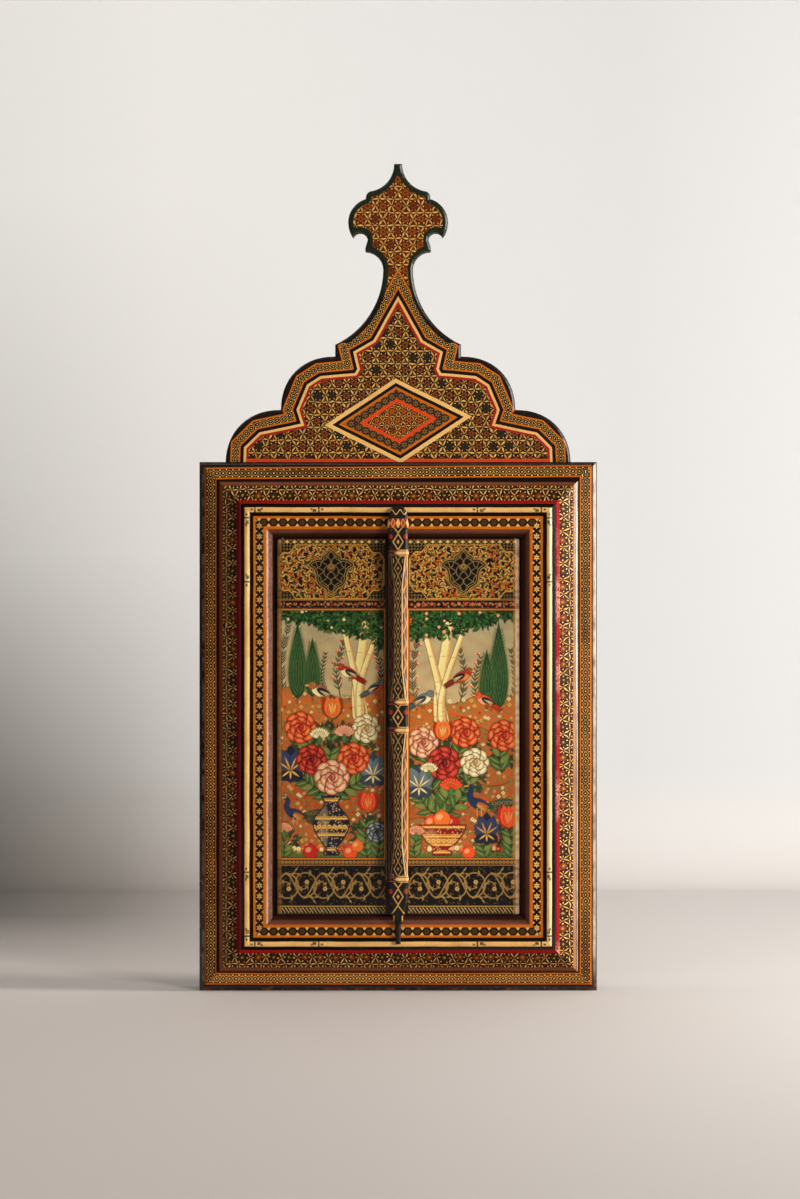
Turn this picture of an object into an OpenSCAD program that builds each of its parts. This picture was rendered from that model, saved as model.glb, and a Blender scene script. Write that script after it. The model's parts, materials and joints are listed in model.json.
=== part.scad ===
// Lacquered mirror case: a mitred box with a moulded front, a mirror behind two
// leaves that turn on hidden pins, a carved meeting batten and a cusped crest.
// Millimetres. +Z is up, the front faces -Y and the origin is the middle of the base.

/* [Case] */
// Outside width of the box
case_w = 200; // [184:1:220]
// Outside height of the box, without the crest
case_h = 266; // [250:1:290]
// Depth of the box boards, back edge to front edge
case_depth = 26; // [25:0.5:34]
// Thickness of the four box boards
board_t = 9.5; // [8:0.5:11]
// Rounding of the boards' outer front arris
board_edge_r = 1.8; // [1:0.2:3]

/* [Moulded front] */
// Width of the moulding, from the box boards in to the leaf opening
moulding_w = 28.7; // [27:0.1:32]
// Radius of the quarter-round roll beside the box boards
roll_r = 2.3; // [1.6:0.1:3]
// Width of the hollow slope between the roll and the crown
slope_w = 8.8; // [7:0.1:9]
// Height of the flat crown above the front edge of the boards
crown_rise = 8; // [6:0.5:9]
// Depth of the hollow in the slope
slope_hollow = 0.5; // [0.2:0.1:0.8]
// Width of the splayed reveal round the leaves
reveal_w = 4.1; // [3:0.1:5]
// How far the splayed reveal falls from the crown
reveal_drop = 6.5; // [5.5:0.1:7]
// Width of the half-round bead on the crown
bead_w = 3.4; // [2.4:0.1:4]
// Height of the half-round bead above the crown
bead_rise = 1.2; // [0.8:0.1:1.6]
// Distance from the box boards to the outer foot of the bead
bead_in = 13.1; // [12.2:0.1:13.5]

/* [Mirror and back] */
// Thickness of the mirror glass
glass_t = 3; // [2:0.5:4]
// How far the glass reaches behind the moulding on each side
glass_lap = 6; // [4:0.5:8]
// Thickness of the card between glass and back board
card_t = 1; // [0.5:0.5:1.5]
// Thickness of the back board
back_t = 5; // [4:0.5:6]
// Width of the splayed slips that frame the glass
slip_w = 8; // [6:0.5:10]
// Clearance round the glass, the card and the back board
fit_gap = 0.4; // [0.2:0.1:0.8]
// Radius of a brad's head
brad_head_r = 1.5; // [1.2:0.1:2]
// Length of a brad
brad_l = 14; // [10:1:16]

/* [Leaves] */
// Thickness of the two leaves, which is also the width of their round heels
leaf_t = 6; // [5.4:0.2:6.6]
// How far the leaves' face lies below the crown
leaf_recess = 5; // [4.6:0.2:5.4]
// Gap between a leaf's round heel and the moulding
heel_gap = 0.5; // [0.4:0.1:0.9]
// Gap above and below the leaves
leaf_gap = 0.4; // [0.3:0.1:0.8]
// Gap between the two leaves
meeting_gap = 0.7; // [0.5:0.1:1]
// Gap between the leaves' backs and the slips
stop_gap = 0.3; // [0.3:0.1:0.6]
// Radius of the pivot pins
pin_r = 1.25; // [1:0.05:1.5]
// Length of a pivot pin inside the leaf
pin_in_leaf = 8; // [6:0.5:12]
// Length of a pivot pin inside the moulding
pin_in_rail = 6; // [4:0.5:8]
// Running clearance round a pivot pin
pin_play = 0.06; // [0.03:0.01:0.08]
// Clearance of a fixed pin, peg, brad or dowel in its hole
peg_play = 0.03; // [0.02:0.01:0.05]

/* [Meeting batten] */
// Width of the batten at its blocks
batten_w = 9.6; // [8.6:0.2:11]
// Height of the batten above the bead
batten_rise = 5; // [4:0.2:6]
// Clearance between the batten's ends and the bead they lap over
batten_clear = 0.4; // [0.3:0.1:0.8]
// How far the domed end reaches above the opening
batten_over = 16.2; // [14:0.2:16.6]
// How far the thin stem reaches below the opening
stem_under = 13.6; // [12:0.2:16]
// Width of the thin stem
stem_w = 2.8; // [2.4:0.1:4]
// Width of the arrow-shaped swelling above the stem
arrow_w = 7.4; // [6:0.2:8]
// Chamfer on the long stretches
chamfer_long = 2.8; // [2:0.1:3.2]
// Chamfer left on the blocks
chamfer_block = 1; // [0.6:0.1:1.4]
// Length over which a long chamfer runs out
run_out = 17; // [10:1:24]
// Length of the block half way up
block_l = 14; // [10:0.5:18]
// How far the carved knops swell out on each side
knop_swell = 0.6; // [0.3:0.1:0.9]
// Half the height of a knop
knop_half = 2.2; // [1.6:0.1:3]
// Radius of the pegs that fix the batten to its leaf
peg_r = 1.2; // [1:0.1:1.4]

/* [Crest] */
// Width of the crest at its foot
crest_w = 174; // [169:1:177]
// Thickness of the crest board
crest_t = 9; // [7:0.5:11]
// How far the crest stands back from the front edge of the box
crest_back = 3; // [2:0.5:5]
// Rounding of the crest's edges
crest_edge_r = 1.2; // [0.6:0.1:1.4]
// Radius of the lower lobe
low_lobe_r = 27.9; // [27.3:0.1:29.5]
// Height of the lower lobe's top
low_lobe_h = 26.4; // [25.4:0.1:26.8]
// Radius of the upper lobe
up_lobe_r = 27.4; // [26.8:0.1:28.2]
// Height of the upper lobe's top
up_lobe_h = 53.3; // [52.5:0.1:53.8]
// Fullness of both lobes: 2 is a true round, more is squarer
lobe_full = 2.2; // [2:0.05:2.4]
// Height of the upright shoulder over the upper lobe
shoulder_h = 6; // [4:0.5:8]
// Radius of the hollow that sweeps up to the neck
ogee_r = 42; // [36:1:50]
// Width of the neck under the finial
neck_w = 15; // [13:0.5:16]
// Radius of the hollow flare above the neck
flare_r = 9; // [8:0.5:10]
// Radius of the notch under the finial's hook
notch_r = 3.75; // [3:0.05:4.2]
// Radius of the finial's hooks
hook_r = 12.3; // [11.6:0.1:13]
// Radius of the small round above each hook
top_round_r = 3.2; // [2.6:0.1:3.6]
// Radius of the hollow that sweeps up to the tip
tip_r = 14; // [12:0.5:16]
// Width of the blunt tip
tip_w = 4; // [3:0.1:4.4]
// Radius of the dowels that fix the crest
dowel_r = 2.5; // [2:0.1:3]
// Length of a dowel in the crest
dowel_in_crest = 12; // [8:1:16]
// Length of a dowel in the top board
dowel_in_board = 7; // [5:0.5:7.5]
// Distance of each dowel from the middle
dowel_x = 48; // [30:1:54]

/* [Hidden] */
$fn = 48;
inner_in = board_t + moulding_w;
open_w = case_w - 2 * inner_in;
open_h = case_h - 2 * inner_in;
open_z0 = inner_in;
open_z1 = case_h - inner_in;
crown_f = case_depth + crown_rise;
reveal_f = crown_f - reveal_drop;
card_f = back_t;
glass_f = card_f + card_t;
glass_face_f = glass_f + glass_t;
leaf_front_f = crown_f - leaf_recess;
leaf_back_f = leaf_front_f - leaf_t;
heel_r = leaf_t / 2;
pivot_f = leaf_back_f + heel_r;
pivot_x = open_w / 2 - heel_gap - heel_r;
leaf_z0 = open_z0 + leaf_gap;
leaf_h = open_h - 2 * leaf_gap;
meet_x = -batten_w / 2 - knop_swell;
lap_f = crown_f + bead_rise + batten_clear;
batten_z0 = open_z0 - stem_under;
batten_z1 = open_z1 + batten_over;
stem_z1 = open_z0 - 3;
low_knop_z = open_z0 + 19;
high_knop_z = open_z1 - 7.8;
collar_z = open_z1 + 6.2;
block_z = (low_knop_z + high_knop_z) / 2;
knops = [low_knop_z, block_z - block_l / 2, block_z + block_l / 2, high_knop_z, collar_z];
foot_w = batten_w - 0.6;
foot_z0 = stem_z1 + 12;
foot_z1 = leaf_z0 + leaf_h - 0.6;
peg_in = leaf_t - 2;
crest_front_f = case_depth - crest_back;
brad_in = board_t + moulding_w / 4;
far = 3 * case_h;

BOTTOM = 0;
RIGHT = -90;
TOP = 180;
LEFT = 90;

function arc(c, r, a0, a1, n) =
    [for (i = [0:n]) let (a = a0 + (a1 - a0) * i / n) c + r * [cos(a), sin(a)]];

// Y of a point that lies f in front of the back plane.
function y_at(f) = case_depth / 2 - f;

// True for the two upright sides of the box.
function upright(side) = side == LEFT || side == RIGHT;
function run_of(side) = upright(side) ? case_h : case_w;

// Carries a piece drawn along the bottom of the box round to any side of it.
module on_side(side) {
    translate([0, 0, case_h / 2])
        rotate([0, side, 0])
            translate([0, 0, upright(side) ? -case_w / 2 : -case_h / 2])
                children();
}

// A strip along one side: the profile is (distance in from the box's edge, height in
// front of the back plane), and both ends are cut to the mitre of the box's corners.
module mitred(side) {
    on_side(side)
        difference() {
            translate([0, case_depth / 2, 0])
                rotate(a = 180, v = [1, 0, 1])
                    linear_extrude(height = run_of(side), center = true)
                        children();
            for (end = [0, 1])
                mirror([end, 0, 0])
                    translate([run_of(side) / 2, 0, 0])
                        rotate([0, -45, 0])
                            translate([0, -far / 2, -far / 2])
                                cube(far);
        }
}

// Box boards: flat front edge with a rounded outer arris.
module board_profile() {
    square([board_t, case_depth - board_edge_r]);
    translate([board_edge_r, 0])
        square([board_t - board_edge_r, case_depth]);
    translate([board_edge_r, case_depth - board_edge_r])
        circle(board_edge_r);
}

// Moulding: roll, hollow slope, flat crown, splayed reveal and the glass rebate behind.
slope_0 = [board_t + roll_r, case_depth + roll_r];
slope_1 = [board_t + roll_r + slope_w, crown_f];
slope_run = slope_1 - slope_0;
slope_normal = [slope_run[1], -slope_run[0]] / norm(slope_run);
module rail_profile() {
    roll = arc([board_t + roll_r, case_depth], roll_r, 180, 90, 8);
    slope = [for (i = [1:9]) let (t = i / 10)
        slope_0 + t * slope_run + 4 * t * (1 - t) * slope_hollow * slope_normal];
    polygon(concat(
        [[board_t, back_t]],
        roll,
        slope,
        [slope_1],
        [[inner_in - reveal_w - 0.6, crown_f]],
        arc([inner_in - reveal_w - 0.6, crown_f - 1], 1, 90, 40, 4),
        [[inner_in, reveal_f],
         [inner_in, glass_face_f],
         [inner_in - glass_lap - fit_gap, glass_face_f],
         [inner_in - glass_lap - fit_gap, back_t]]));
}

module bead_profile() {
    middle = [board_t + bead_in + bead_w / 2, crown_f];
    polygon([for (i = [0:12]) let (a = 180 - 15 * i)
        middle + [bead_w / 2 * cos(a), bead_rise * sin(a)]]);
}

module slip_profile() {
    polygon([
        [inner_in, glass_face_f],
        [inner_in + slip_w, glass_face_f],
        [inner_in + slip_w, glass_face_f + 2],
        [inner_in + slip_w / 2, leaf_back_f - stop_gap],
        [inner_in, leaf_back_f - stop_gap]]);
}

// Two flush-headed brads on each side of the back board.
module brads_on(side, play = 0) {
    on_side(side)
        for (s = [-1, 1])
            translate([s * run_of(side) / 4, case_depth / 2, brad_in])
                rotate([90, 0, 0]) {
                    cylinder(r = brad_head_r + play, h = 0.8 + play);
                    cylinder(r = 0.7 + play, h = brad_l + play);
                }
}

// A round pin up through height z0 to z1 on the pivot of one leaf.
module pivot(side, z0, z1, r) {
    translate([side * pivot_x, y_at(pivot_f), z0])
        cylinder(r = r, h = z1 - z0);
}

module top_pin(side) {
    pivot(side, leaf_z0 + leaf_h - pin_in_leaf, open_z1 + pin_in_rail, pin_r);
}

module foot_pin(side) {
    pivot(side, open_z0 - pin_in_rail, leaf_z0 + pin_in_leaf, pin_r);
}

module box_board(side) {
    color("#241510")
        difference() {
            mitred(side) board_profile();
            if (side == TOP) dowels(peg_play);
        }
}

module rail(side) {
    color("#3a1f16")
        difference() {
            mitred(side) rail_profile();
            brads_on(side, peg_play);
            if (side == TOP)
                for (s = [-1, 1])
                    pivot(s, open_z1 - 1, open_z1 + pin_in_rail + 0.2, pin_r + pin_play);
            if (side == BOTTOM)
                for (s = [-1, 1])
                    pivot(s, open_z0 - pin_in_rail - 0.1, open_z0 + 1, pin_r + pin_play);
        }
}

module bead(side) {
    color("#e1be82")
        mitred(side) bead_profile();
}

module slip(side) {
    color("#6b2418")
        mitred(side) slip_profile();
}

// A sheet behind the front, from height f0 to f1, leaving an edge of m all round.
module sheet(m, f0, f1) {
    translate([m - case_w / 2, y_at(f1), m])
        cube([case_w - 2 * m, f1 - f0, case_h - 2 * m]);
}

module mirror_glass() {
    color("#b9c4c6")
        sheet(inner_in - glass_lap, glass_f, glass_face_f);
}

module backing_card() {
    color("#8f7a58")
        sheet(inner_in - glass_lap, card_f, glass_f);
}

module back_board() {
    color("#7a5a38")
        difference() {
            sheet(board_t + fit_gap, 0, back_t);
            for (side = [BOTTOM, RIGHT, TOP, LEFT]) brads_on(side, peg_play);
        }
}

module back_brads() {
    color("#4a4640")
        for (side = [BOTTOM, RIGHT, TOP, LEFT]) brads_on(side);
}

// A leaf from its round heel on the pivot to its meeting edge.
module leaf(side, edge_x) {
    reach = abs(side * pivot_x - edge_x);
    difference() {
        translate([side * pivot_x, y_at(pivot_f), leaf_z0])
            linear_extrude(height = leaf_h) {
                circle(heel_r);
                translate([side > 0 ? -reach : 0, -heel_r])
                    square([reach, leaf_t]);
            }
        pivot(side, leaf_z0 - 1, leaf_z0 + pin_in_leaf + 0.1, pin_r + peg_play);
        pivot(side, leaf_z0 + leaf_h - pin_in_leaf - 0.1, leaf_z0 + leaf_h + 1, pin_r + peg_play);
    }
}

module left_leaf() {
    color("#4a2c1a")
        leaf(-1, meet_x - meeting_gap);
}

module right_leaf() {
    color("#4a2c1a")
        difference() {
            leaf(1, meet_x);
            pegs(peg_play);
        }
}

module pegs(play = 0) {
    for (z = [low_knop_z, block_z, high_knop_z])
        translate([0, y_at(leaf_front_f - peg_in - play), z])
            rotate([90, 0, 0])
                cylinder(r = peg_r + play, h = 2 * (peg_in + play));
}

// Joins rings of equal length into one closed skin, with the same end faces on both ends.
module skin(rings, ends) {
    n = len(rings[0]);
    last = len(rings) - 1;
    polyhedron(
        points = [for (ring = rings) each ring],
        faces = concat(
            [for (t = ends) [for (i = [len(t) - 1:-1:0]) t[i]]],
            [for (k = [0:last - 1], i = [0:n - 1]) let (j = (i + 1) % n)
                [k * n + i, k * n + j, k * n + n + j, k * n + n + i]],
            [for (t = ends) [for (i = t) last * n + i]]));
}

// Cuts a flat outline into triangles by taking off one empty convex corner at a time.
function turn(a, b, c) = (b[0] - a[0]) * (c[1] - a[1]) - (b[1] - a[1]) * (c[0] - a[0]);
function holds(a, b, c, p) = turn(a, b, p) >= 0 && turn(b, c, p) >= 0 && turn(c, a, p) >= 0;
function corner(left, i) =
    let (n = len(left)) [left[(i + n - 1) % n], left[i], left[(i + 1) % n]];
function empty(pts, left, t) =
    turn(pts[t[0]], pts[t[1]], pts[t[2]]) > 1e-6 &&
    [for (k = left) if (k != t[0] && k != t[1] && k != t[2] &&
                        holds(pts[t[0]], pts[t[1]], pts[t[2]], pts[k])) k] == [];
function first_corner(pts, left, i = 0) =
    i >= len(left) - 1 || empty(pts, left, corner(left, i)) ? i : first_corner(pts, left, i + 1);
function triangles(pts, left, done = []) =
    len(left) == 3 ? concat(done, [left]) :
    let (i = first_corner(pts, left))
    triangles(pts, [for (k = [0:len(left) - 1]) if (k != i) left[k]],
              concat(done, [corner(left, i)]));

// Batten width: stem, arrow, then the full width, with a round end at the top.
dome_h = 7;
tip_steps = [
    [batten_z0, stem_w * 0.9],
    [stem_z1, stem_w],
    [stem_z1 + 1.6, arrow_w * 0.74],
    [stem_z1 + 6.6, arrow_w],
    [stem_z1 + 11, batten_w]];
function dome(z) =
    let (t = max(0, (z - batten_z1 + dome_h) / dome_h)) sqrt(max(0, 1 - t * t));
function knop(z) = max([for (c = knops) max(0, 1 - abs(z - c) / knop_half)]);
function plain_w(z) = lookup(z, tip_steps) * max(0.18, dome(z));
function width_at(z) = plain_w(z) + 2 * knop_swell * knop(z);
function beyond(z, z0, z1) = max(z0 - z, z - z1, 0);
function block_at(z) =
    let (d = min(beyond(z, batten_z0, low_knop_z),
                 beyond(z, block_z - block_l / 2, block_z + block_l / 2),
                 beyond(z, high_knop_z, batten_z1)))
    max(0, 1 - d / run_out);
function chamfer_at(z) =
    min(chamfer_long + (chamfer_block - chamfer_long) * block_at(z), 0.3 * width_at(z));
function crown_at(z) =
    lap_f + batten_rise * (0.4 + 0.6 * min(1, plain_w(z) / (0.6 * batten_w))) + 0.5 * knop(z);
function section(z) =
    let (w = width_at(z) / 2, c = chamfer_at(z), f = crown_at(z))
    [for (p = [[-w, lap_f], [w, lap_f], [w, f - c], [w - c, f], [c - w, f], [-w, f - c]])
        [p[0], y_at(p[1]), z]];

module meeting_batten() {
    steps = 200;
    color("#2a1a12")
        difference() {
            union() {
                skin([for (i = [0:steps])
                    section(batten_z0 + (batten_z1 - batten_z0) * i / steps)],
                    [[0, 1, 2, 3, 4, 5]]);
                translate([-foot_w / 2, y_at(lap_f + 1), foot_z0])
                    cube([foot_w, lap_f + 1 - leaf_front_f, foot_z1 - foot_z0]);
            }
            pegs(peg_play);
        }
}

module batten_pegs() {
    color("#8a6a42")
        pegs();
}

// Right half of the crest's outline, from its foot up to its tip.
function swell(r, a) = r * [cos(a) ^ (2 / lobe_full), sin(a) ^ (2 / lobe_full)];
function swell_at(r, rise) = asin((max(0, rise) / r) ^ (lobe_full / 2));
low_a = swell_at(low_lobe_r, low_lobe_r - low_lobe_h);
low_c = [crest_w / 2 - swell(low_lobe_r, low_a)[0], low_lobe_h - low_lobe_r];
up_a = swell_at(up_lobe_r, low_lobe_h - (up_lobe_h - up_lobe_r));
up_c = [low_c[0] - swell(up_lobe_r, up_a)[0], up_lobe_h - up_lobe_r];
shoulder = [up_c[0], up_lobe_h + shoulder_h];
neck_x = neck_w / 2;
neck_z = shoulder[1] + sqrt(ogee_r ^ 2 - (neck_x + ogee_r - shoulder[0]) ^ 2);
ogee_c = [neck_x + ogee_r, neck_z];
nib = [neck_x + flare_r, neck_z + flare_r + 1.7];
notch_c = [nib[0] - 1.2 + notch_r, nib[1] + 4];
hook_tip = notch_c + notch_r * [cos(20), sin(20)];
hook_c = hook_tip - hook_r * [cos(38), -sin(38)];
hook_end = hook_c + hook_r * [cos(74), sin(74)];
round_c = [hook_end[0] - top_round_r, hook_end[1] + 0.8];
tip_x = tip_w / 2 + tip_r;
tip_z = round_c[1] + top_round_r + sqrt(tip_r ^ 2 - (tip_x - round_c[0]) ^ 2);
function dir(a, b) = atan2(b[1] - a[1], b[0] - a[0]);
half_outline = concat(
    [[crest_w / 2, -3]],
    [for (i = [0:14]) low_c + swell(low_lobe_r, low_a + (90 - low_a) * i / 14)],
    [for (i = [1:14]) up_c + swell(up_lobe_r, up_a + (90 - up_a) * i / 14)],
    arc(ogee_c, ogee_r, dir(ogee_c, shoulder) + 360, 180, 14),
    [for (i = [1:6]) let (a = 180 - 15 * i) [neck_x + flare_r, neck_z] + flare_r * [cos(a), sin(a)]],
    [nib],
    arc(notch_c, notch_r, 180, 20, 8),
    [for (i = [1:12]) let (a = -38 + 112 * i / 12) hook_c + hook_r * [cos(a), sin(a)]],
    arc(round_c, top_round_r, 0, 90, 5),
    [for (i = [1:8]) let (a0 = dir([tip_x, tip_z], round_c + [0, top_round_r]) + 360,
                          a = a0 + (180 - a0) * i / 8)
        [tip_x, tip_z] + tip_r * [cos(a), sin(a)]]);
crest_outline = concat(
    half_outline,
    [for (i = [len(half_outline) - 1:-1:0]) [-half_outline[i][0], half_outline[i][1]]]);

// The outline moved in by m, with its corners kept as mitres.
function normal_of(a, b) = [b[1] - a[1], a[0] - b[0]] / norm(b - a);
function inset(pts, m) =
    let (n = len(pts))
    [for (i = [0:n - 1])
        let (p = pts[i],
             u = normal_of(pts[(i + n - 1) % n], p),
             v = normal_of(p, pts[(i + 1) % n]))
        p - m * (u + v) / max(0.4, 1 + u * v)];

module dowels(play = 0) {
    for (s = [-1, 1])
        translate([s * dowel_x, y_at(crest_front_f - crest_t / 2), case_h - dowel_in_board - play])
            cylinder(r = dowel_r + play, h = dowel_in_board + dowel_in_crest + 2 * play);
}

module crest_board() {
    r = crest_edge_r;
    rounds = [for (k = [0:3]) let (a = 30 * k) [r * (1 - cos(a)), r * (1 - sin(a))]];
    edges = concat(
        [for (k = [3:-1:0]) [rounds[k][0], crest_front_f - rounds[k][1]]],
        [for (k = [0:3]) [rounds[k][0], crest_front_f - crest_t + rounds[k][1]]]);
    color("#3a2416")
        difference() {
            skin([for (e = edges)
                [for (p = inset(crest_outline, e[0])) [p[0], y_at(e[1]), case_h + p[1]]]],
                triangles(inset(crest_outline, r), [for (i = [0:len(crest_outline) - 1]) i]));
            translate([-case_w, -case_w, case_h - 50])
                cube([2 * case_w, 2 * case_w, 50]);
            dowels(peg_play);
        }
}

module crest_dowels() {
    color("#8a6a42")
        dowels();
}

box_board(BOTTOM);  // base_board
box_board(RIGHT);  // right_board
box_board(TOP);  // top_board
box_board(LEFT);  // left_board
rail(BOTTOM);  // bottom_rail
rail(RIGHT);  // right_rail
rail(TOP);  // top_rail
rail(LEFT);  // left_rail
bead(BOTTOM);  // bottom_bead
bead(RIGHT);  // right_bead
bead(TOP);  // top_bead
bead(LEFT);  // left_bead
slip(BOTTOM);  // bottom_slip
slip(RIGHT);  // right_slip
slip(TOP);  // top_slip
slip(LEFT);  // left_slip
mirror_glass();
backing_card();
back_board();
back_brads();
left_leaf();
color("#6a5a3a") top_pin(-1);  // left_top_pin
color("#6a5a3a") foot_pin(-1);  // left_foot_pin
right_leaf();
color("#6a5a3a") top_pin(1);  // right_top_pin
color("#6a5a3a") foot_pin(1);  // right_foot_pin
meeting_batten();
batten_pegs();
crest_board();
crest_dowels();
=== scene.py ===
import json
import math
from functools import reduce

import bmesh
import bpy
import numpy as np
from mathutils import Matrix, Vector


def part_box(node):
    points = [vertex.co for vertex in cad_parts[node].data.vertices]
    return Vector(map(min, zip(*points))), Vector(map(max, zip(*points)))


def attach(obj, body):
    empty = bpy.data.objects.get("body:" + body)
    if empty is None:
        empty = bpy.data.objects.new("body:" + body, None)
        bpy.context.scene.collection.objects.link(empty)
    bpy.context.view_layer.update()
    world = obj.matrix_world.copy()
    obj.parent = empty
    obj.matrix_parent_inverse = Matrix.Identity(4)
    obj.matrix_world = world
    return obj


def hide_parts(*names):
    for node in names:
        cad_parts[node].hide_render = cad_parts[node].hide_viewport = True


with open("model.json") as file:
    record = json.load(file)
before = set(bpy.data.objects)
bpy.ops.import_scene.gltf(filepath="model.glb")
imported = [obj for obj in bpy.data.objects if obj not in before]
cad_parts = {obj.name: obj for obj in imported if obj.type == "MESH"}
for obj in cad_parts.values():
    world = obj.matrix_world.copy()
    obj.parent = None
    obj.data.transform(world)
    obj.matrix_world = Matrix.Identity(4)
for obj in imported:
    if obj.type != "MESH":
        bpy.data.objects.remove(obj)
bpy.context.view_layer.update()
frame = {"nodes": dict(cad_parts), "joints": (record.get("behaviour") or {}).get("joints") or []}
nodes = frame["nodes"]
scene = bpy.context.scene
scene.view_settings.view_transform = "Standard"


# Camera
# The camera stands level in front of the case, at a little under half its height.
# Sizes below are in millimetres, and MM turns them into metres.
MM = 0.001
picture_rows = 1199
mm_per_pixel = 0.503
eye_right, eye_away, eye_up = 0.96, 1800.0, 196.8
case_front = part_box("base_board")[0].y / MM
lens = bpy.data.cameras.new("camera")
lens.sensor_fit = "VERTICAL"
lens.sensor_height = 36.0
lens.lens = lens.sensor_height * eye_away / (picture_rows * mm_per_pixel)
lens.clip_end = 30.0
camera = bpy.data.objects.new("camera", lens)
camera.location = (eye_right * MM, (case_front - eye_away) * MM, eye_up * MM)
camera.rotation_euler = (math.pi / 2, 0.0, 0.0)
scene.collection.objects.link(camera)
scene.camera = camera


# Floor, backdrop and lamps
# A sheet of pale paper: floor, cove and wall in one sweep, greyer to the left by a painted shadow. The
# main soft lamp stands to the right of the camera; weaker ones light the side, the top and the wall.


def rgb(red, green, blue):
    """A colour as it looks, 0 to 255 a channel, turned into the linear value that a shader takes."""
    share = np.array([red, green, blue]) / 255.0
    linear = np.where(share <= 0.04045, share / 12.92, ((share + 0.055) / 1.055) ** 2.4)
    return (*linear.tolist(), 1.0)


def surface(name, points, material, smooth=True):
    """A grid of points (rows, columns, 3) in millimetres as a mesh of four-sided faces."""
    rows, columns = points.shape[:2]
    at = np.arange(rows * columns).reshape(rows, columns)
    faces = np.stack([at[:-1, :-1], at[:-1, 1:], at[1:, 1:], at[1:, :-1]], -1).reshape(-1, 4)
    mesh = bpy.data.meshes.new(name)
    mesh.from_pydata(points.reshape(-1, 3) * MM, [], faces)
    mesh.polygons.foreach_set("use_smooth", np.full(len(faces), smooth))
    mesh.materials.append(material)
    piece = bpy.data.objects.new(name, mesh)
    scene.collection.objects.link(piece)
    return piece


def plug(slot, value):
    """Gives a node's input its value: a Mark or a socket is linked, anything else is set."""
    value = value.socket if isinstance(value, Mark) else value
    if isinstance(value, bpy.types.NodeSocket):
        slot.id_data.links.new(value, slot)
    else:
        slot.default_value = value


def fill(node, *values):
    """Fills a node's inputs in order."""
    for slot, value in zip(node.inputs, values):
        plug(slot, value)
    return node


def give(node, **values):
    """Fills a node's inputs by their names, with _ for each space."""
    for label, value in values.items():
        plug(node.inputs[label.replace("_", " ")], value)
    return node


def add(tree, kind, *values, **settings):
    """One shader node of a kind, with its settings made and its inputs filled."""
    node = tree.nodes.new("ShaderNode" + kind)
    for setting, value in settings.items():
        setattr(node, setting, value)
    return fill(node, *values)


class Mark:
    """A number that changes over a painted surface: sums on it add Math nodes to its tree."""

    def __init__(self, socket):
        self.socket, self.tree = socket, socket.id_data

    def do(self, operation, *others, clamp=False):
        return Mark(add(self.tree, "Math", self, *others, operation=operation,
                        use_clamp=clamp).outputs[0])

    def __add__(self, other):
        return self.do("ADD", other)

    def __sub__(self, other):
        return self.do("SUBTRACT", other)

    def __mul__(self, other):
        return self.do("MULTIPLY", other)

    def __truediv__(self, other):
        return self.do("DIVIDE", other)

    def __rsub__(self, other):
        return self.do("MULTIPLY_ADD", -1.0, other)

    __radd__, __rmul__ = __add__, __mul__

    def size(self):
        return self.do("ABSOLUTE")

    def least(self, other):
        return self.do("MINIMUM", other)

    def most(self, other):
        return self.do("MAXIMUM", other)

    def under(self, limit, soft=0.12):
        """1 where the number is below the limit, softened over a short way."""
        if isinstance(limit, Mark):
            return (limit - self).do("MULTIPLY_ADD", 1.0 / soft, 0.5, clamp=True)
        return self.do("MULTIPLY_ADD", -1.0 / soft, limit / soft + 0.5, clamp=True)

    def over(self, limit, soft=0.12):
        return 1.0 - self.under(limit, soft)

    def between(self, low, high, soft=0.12):
        return (self - (low + high) / 2).size().under((high - low) / 2, soft)

    def ramp(self, low, high):
        """0 at low, 1 at high, straight between."""
        span = high - low
        return self.do("MULTIPLY_ADD", 1.0 / span, -low / span, clamp=True)

    def nearest(self, pitch):
        """How far the number lies from the nearest whole pitch."""
        return self - (self / pitch).do("ROUND") * pitch


def lay(mask, below, above, how="MIX"):
    """One coat of paint over another where the mask is 1."""
    node = add(mask.tree, "Mix", data_type="RGBA", blend_type=how)
    for slot, value in ((0, mask), (6, below), (7, above)):
        plug(node.inputs[slot], value)
    return node.outputs[2]


def place(tree):
    """Object coordinates in millimetres, as a vector and as three Marks."""
    coords = add(tree, "TexCoord").outputs["Object"]
    vector = give(add(tree, "VectorMath", coords, operation="SCALE"), Scale=1.0 / MM)
    split = add(tree, "SeparateXYZ", vector.outputs[0])
    return vector.outputs[0], *(Mark(part) for part in split.outputs)


def noise(tree, vector, scale, detail=2.0):
    """Soft blotches from 0 to 1; scale is how many of them there are to a millimetre."""
    node = add(tree, "TexNoise", vector, noise_dimensions="3D")
    return Mark(give(node, Scale=scale, Detail=detail).outputs["Fac"])


def sway(tree, vector, scale, reach):
    """Two wandering shifts, each at most the reach either way, for a line drawn by hand."""
    node = give(add(tree, "TexNoise", vector, noise_dimensions="3D"), Scale=scale)
    split = add(tree, "SeparateColor", node.outputs["Color"])
    return [(Mark(part) - 0.5) * (2.0 * reach) for part in split.outputs[:2]]


def start(name):
    """A new material: itself, its tree and its Principled shader."""
    material = bpy.data.materials.new(name)
    material.use_nodes = True
    tree = material.node_tree
    return material, tree, tree.nodes["Principled BSDF"]


def blend(tree, share, one, other, end):
    """Sends a mix of two shaders to the end node of a tree."""
    both = add(tree, "MixShader", share, one.outputs[0], other.outputs[0])
    fill(tree.nodes[end], both.outputs[0])


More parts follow.
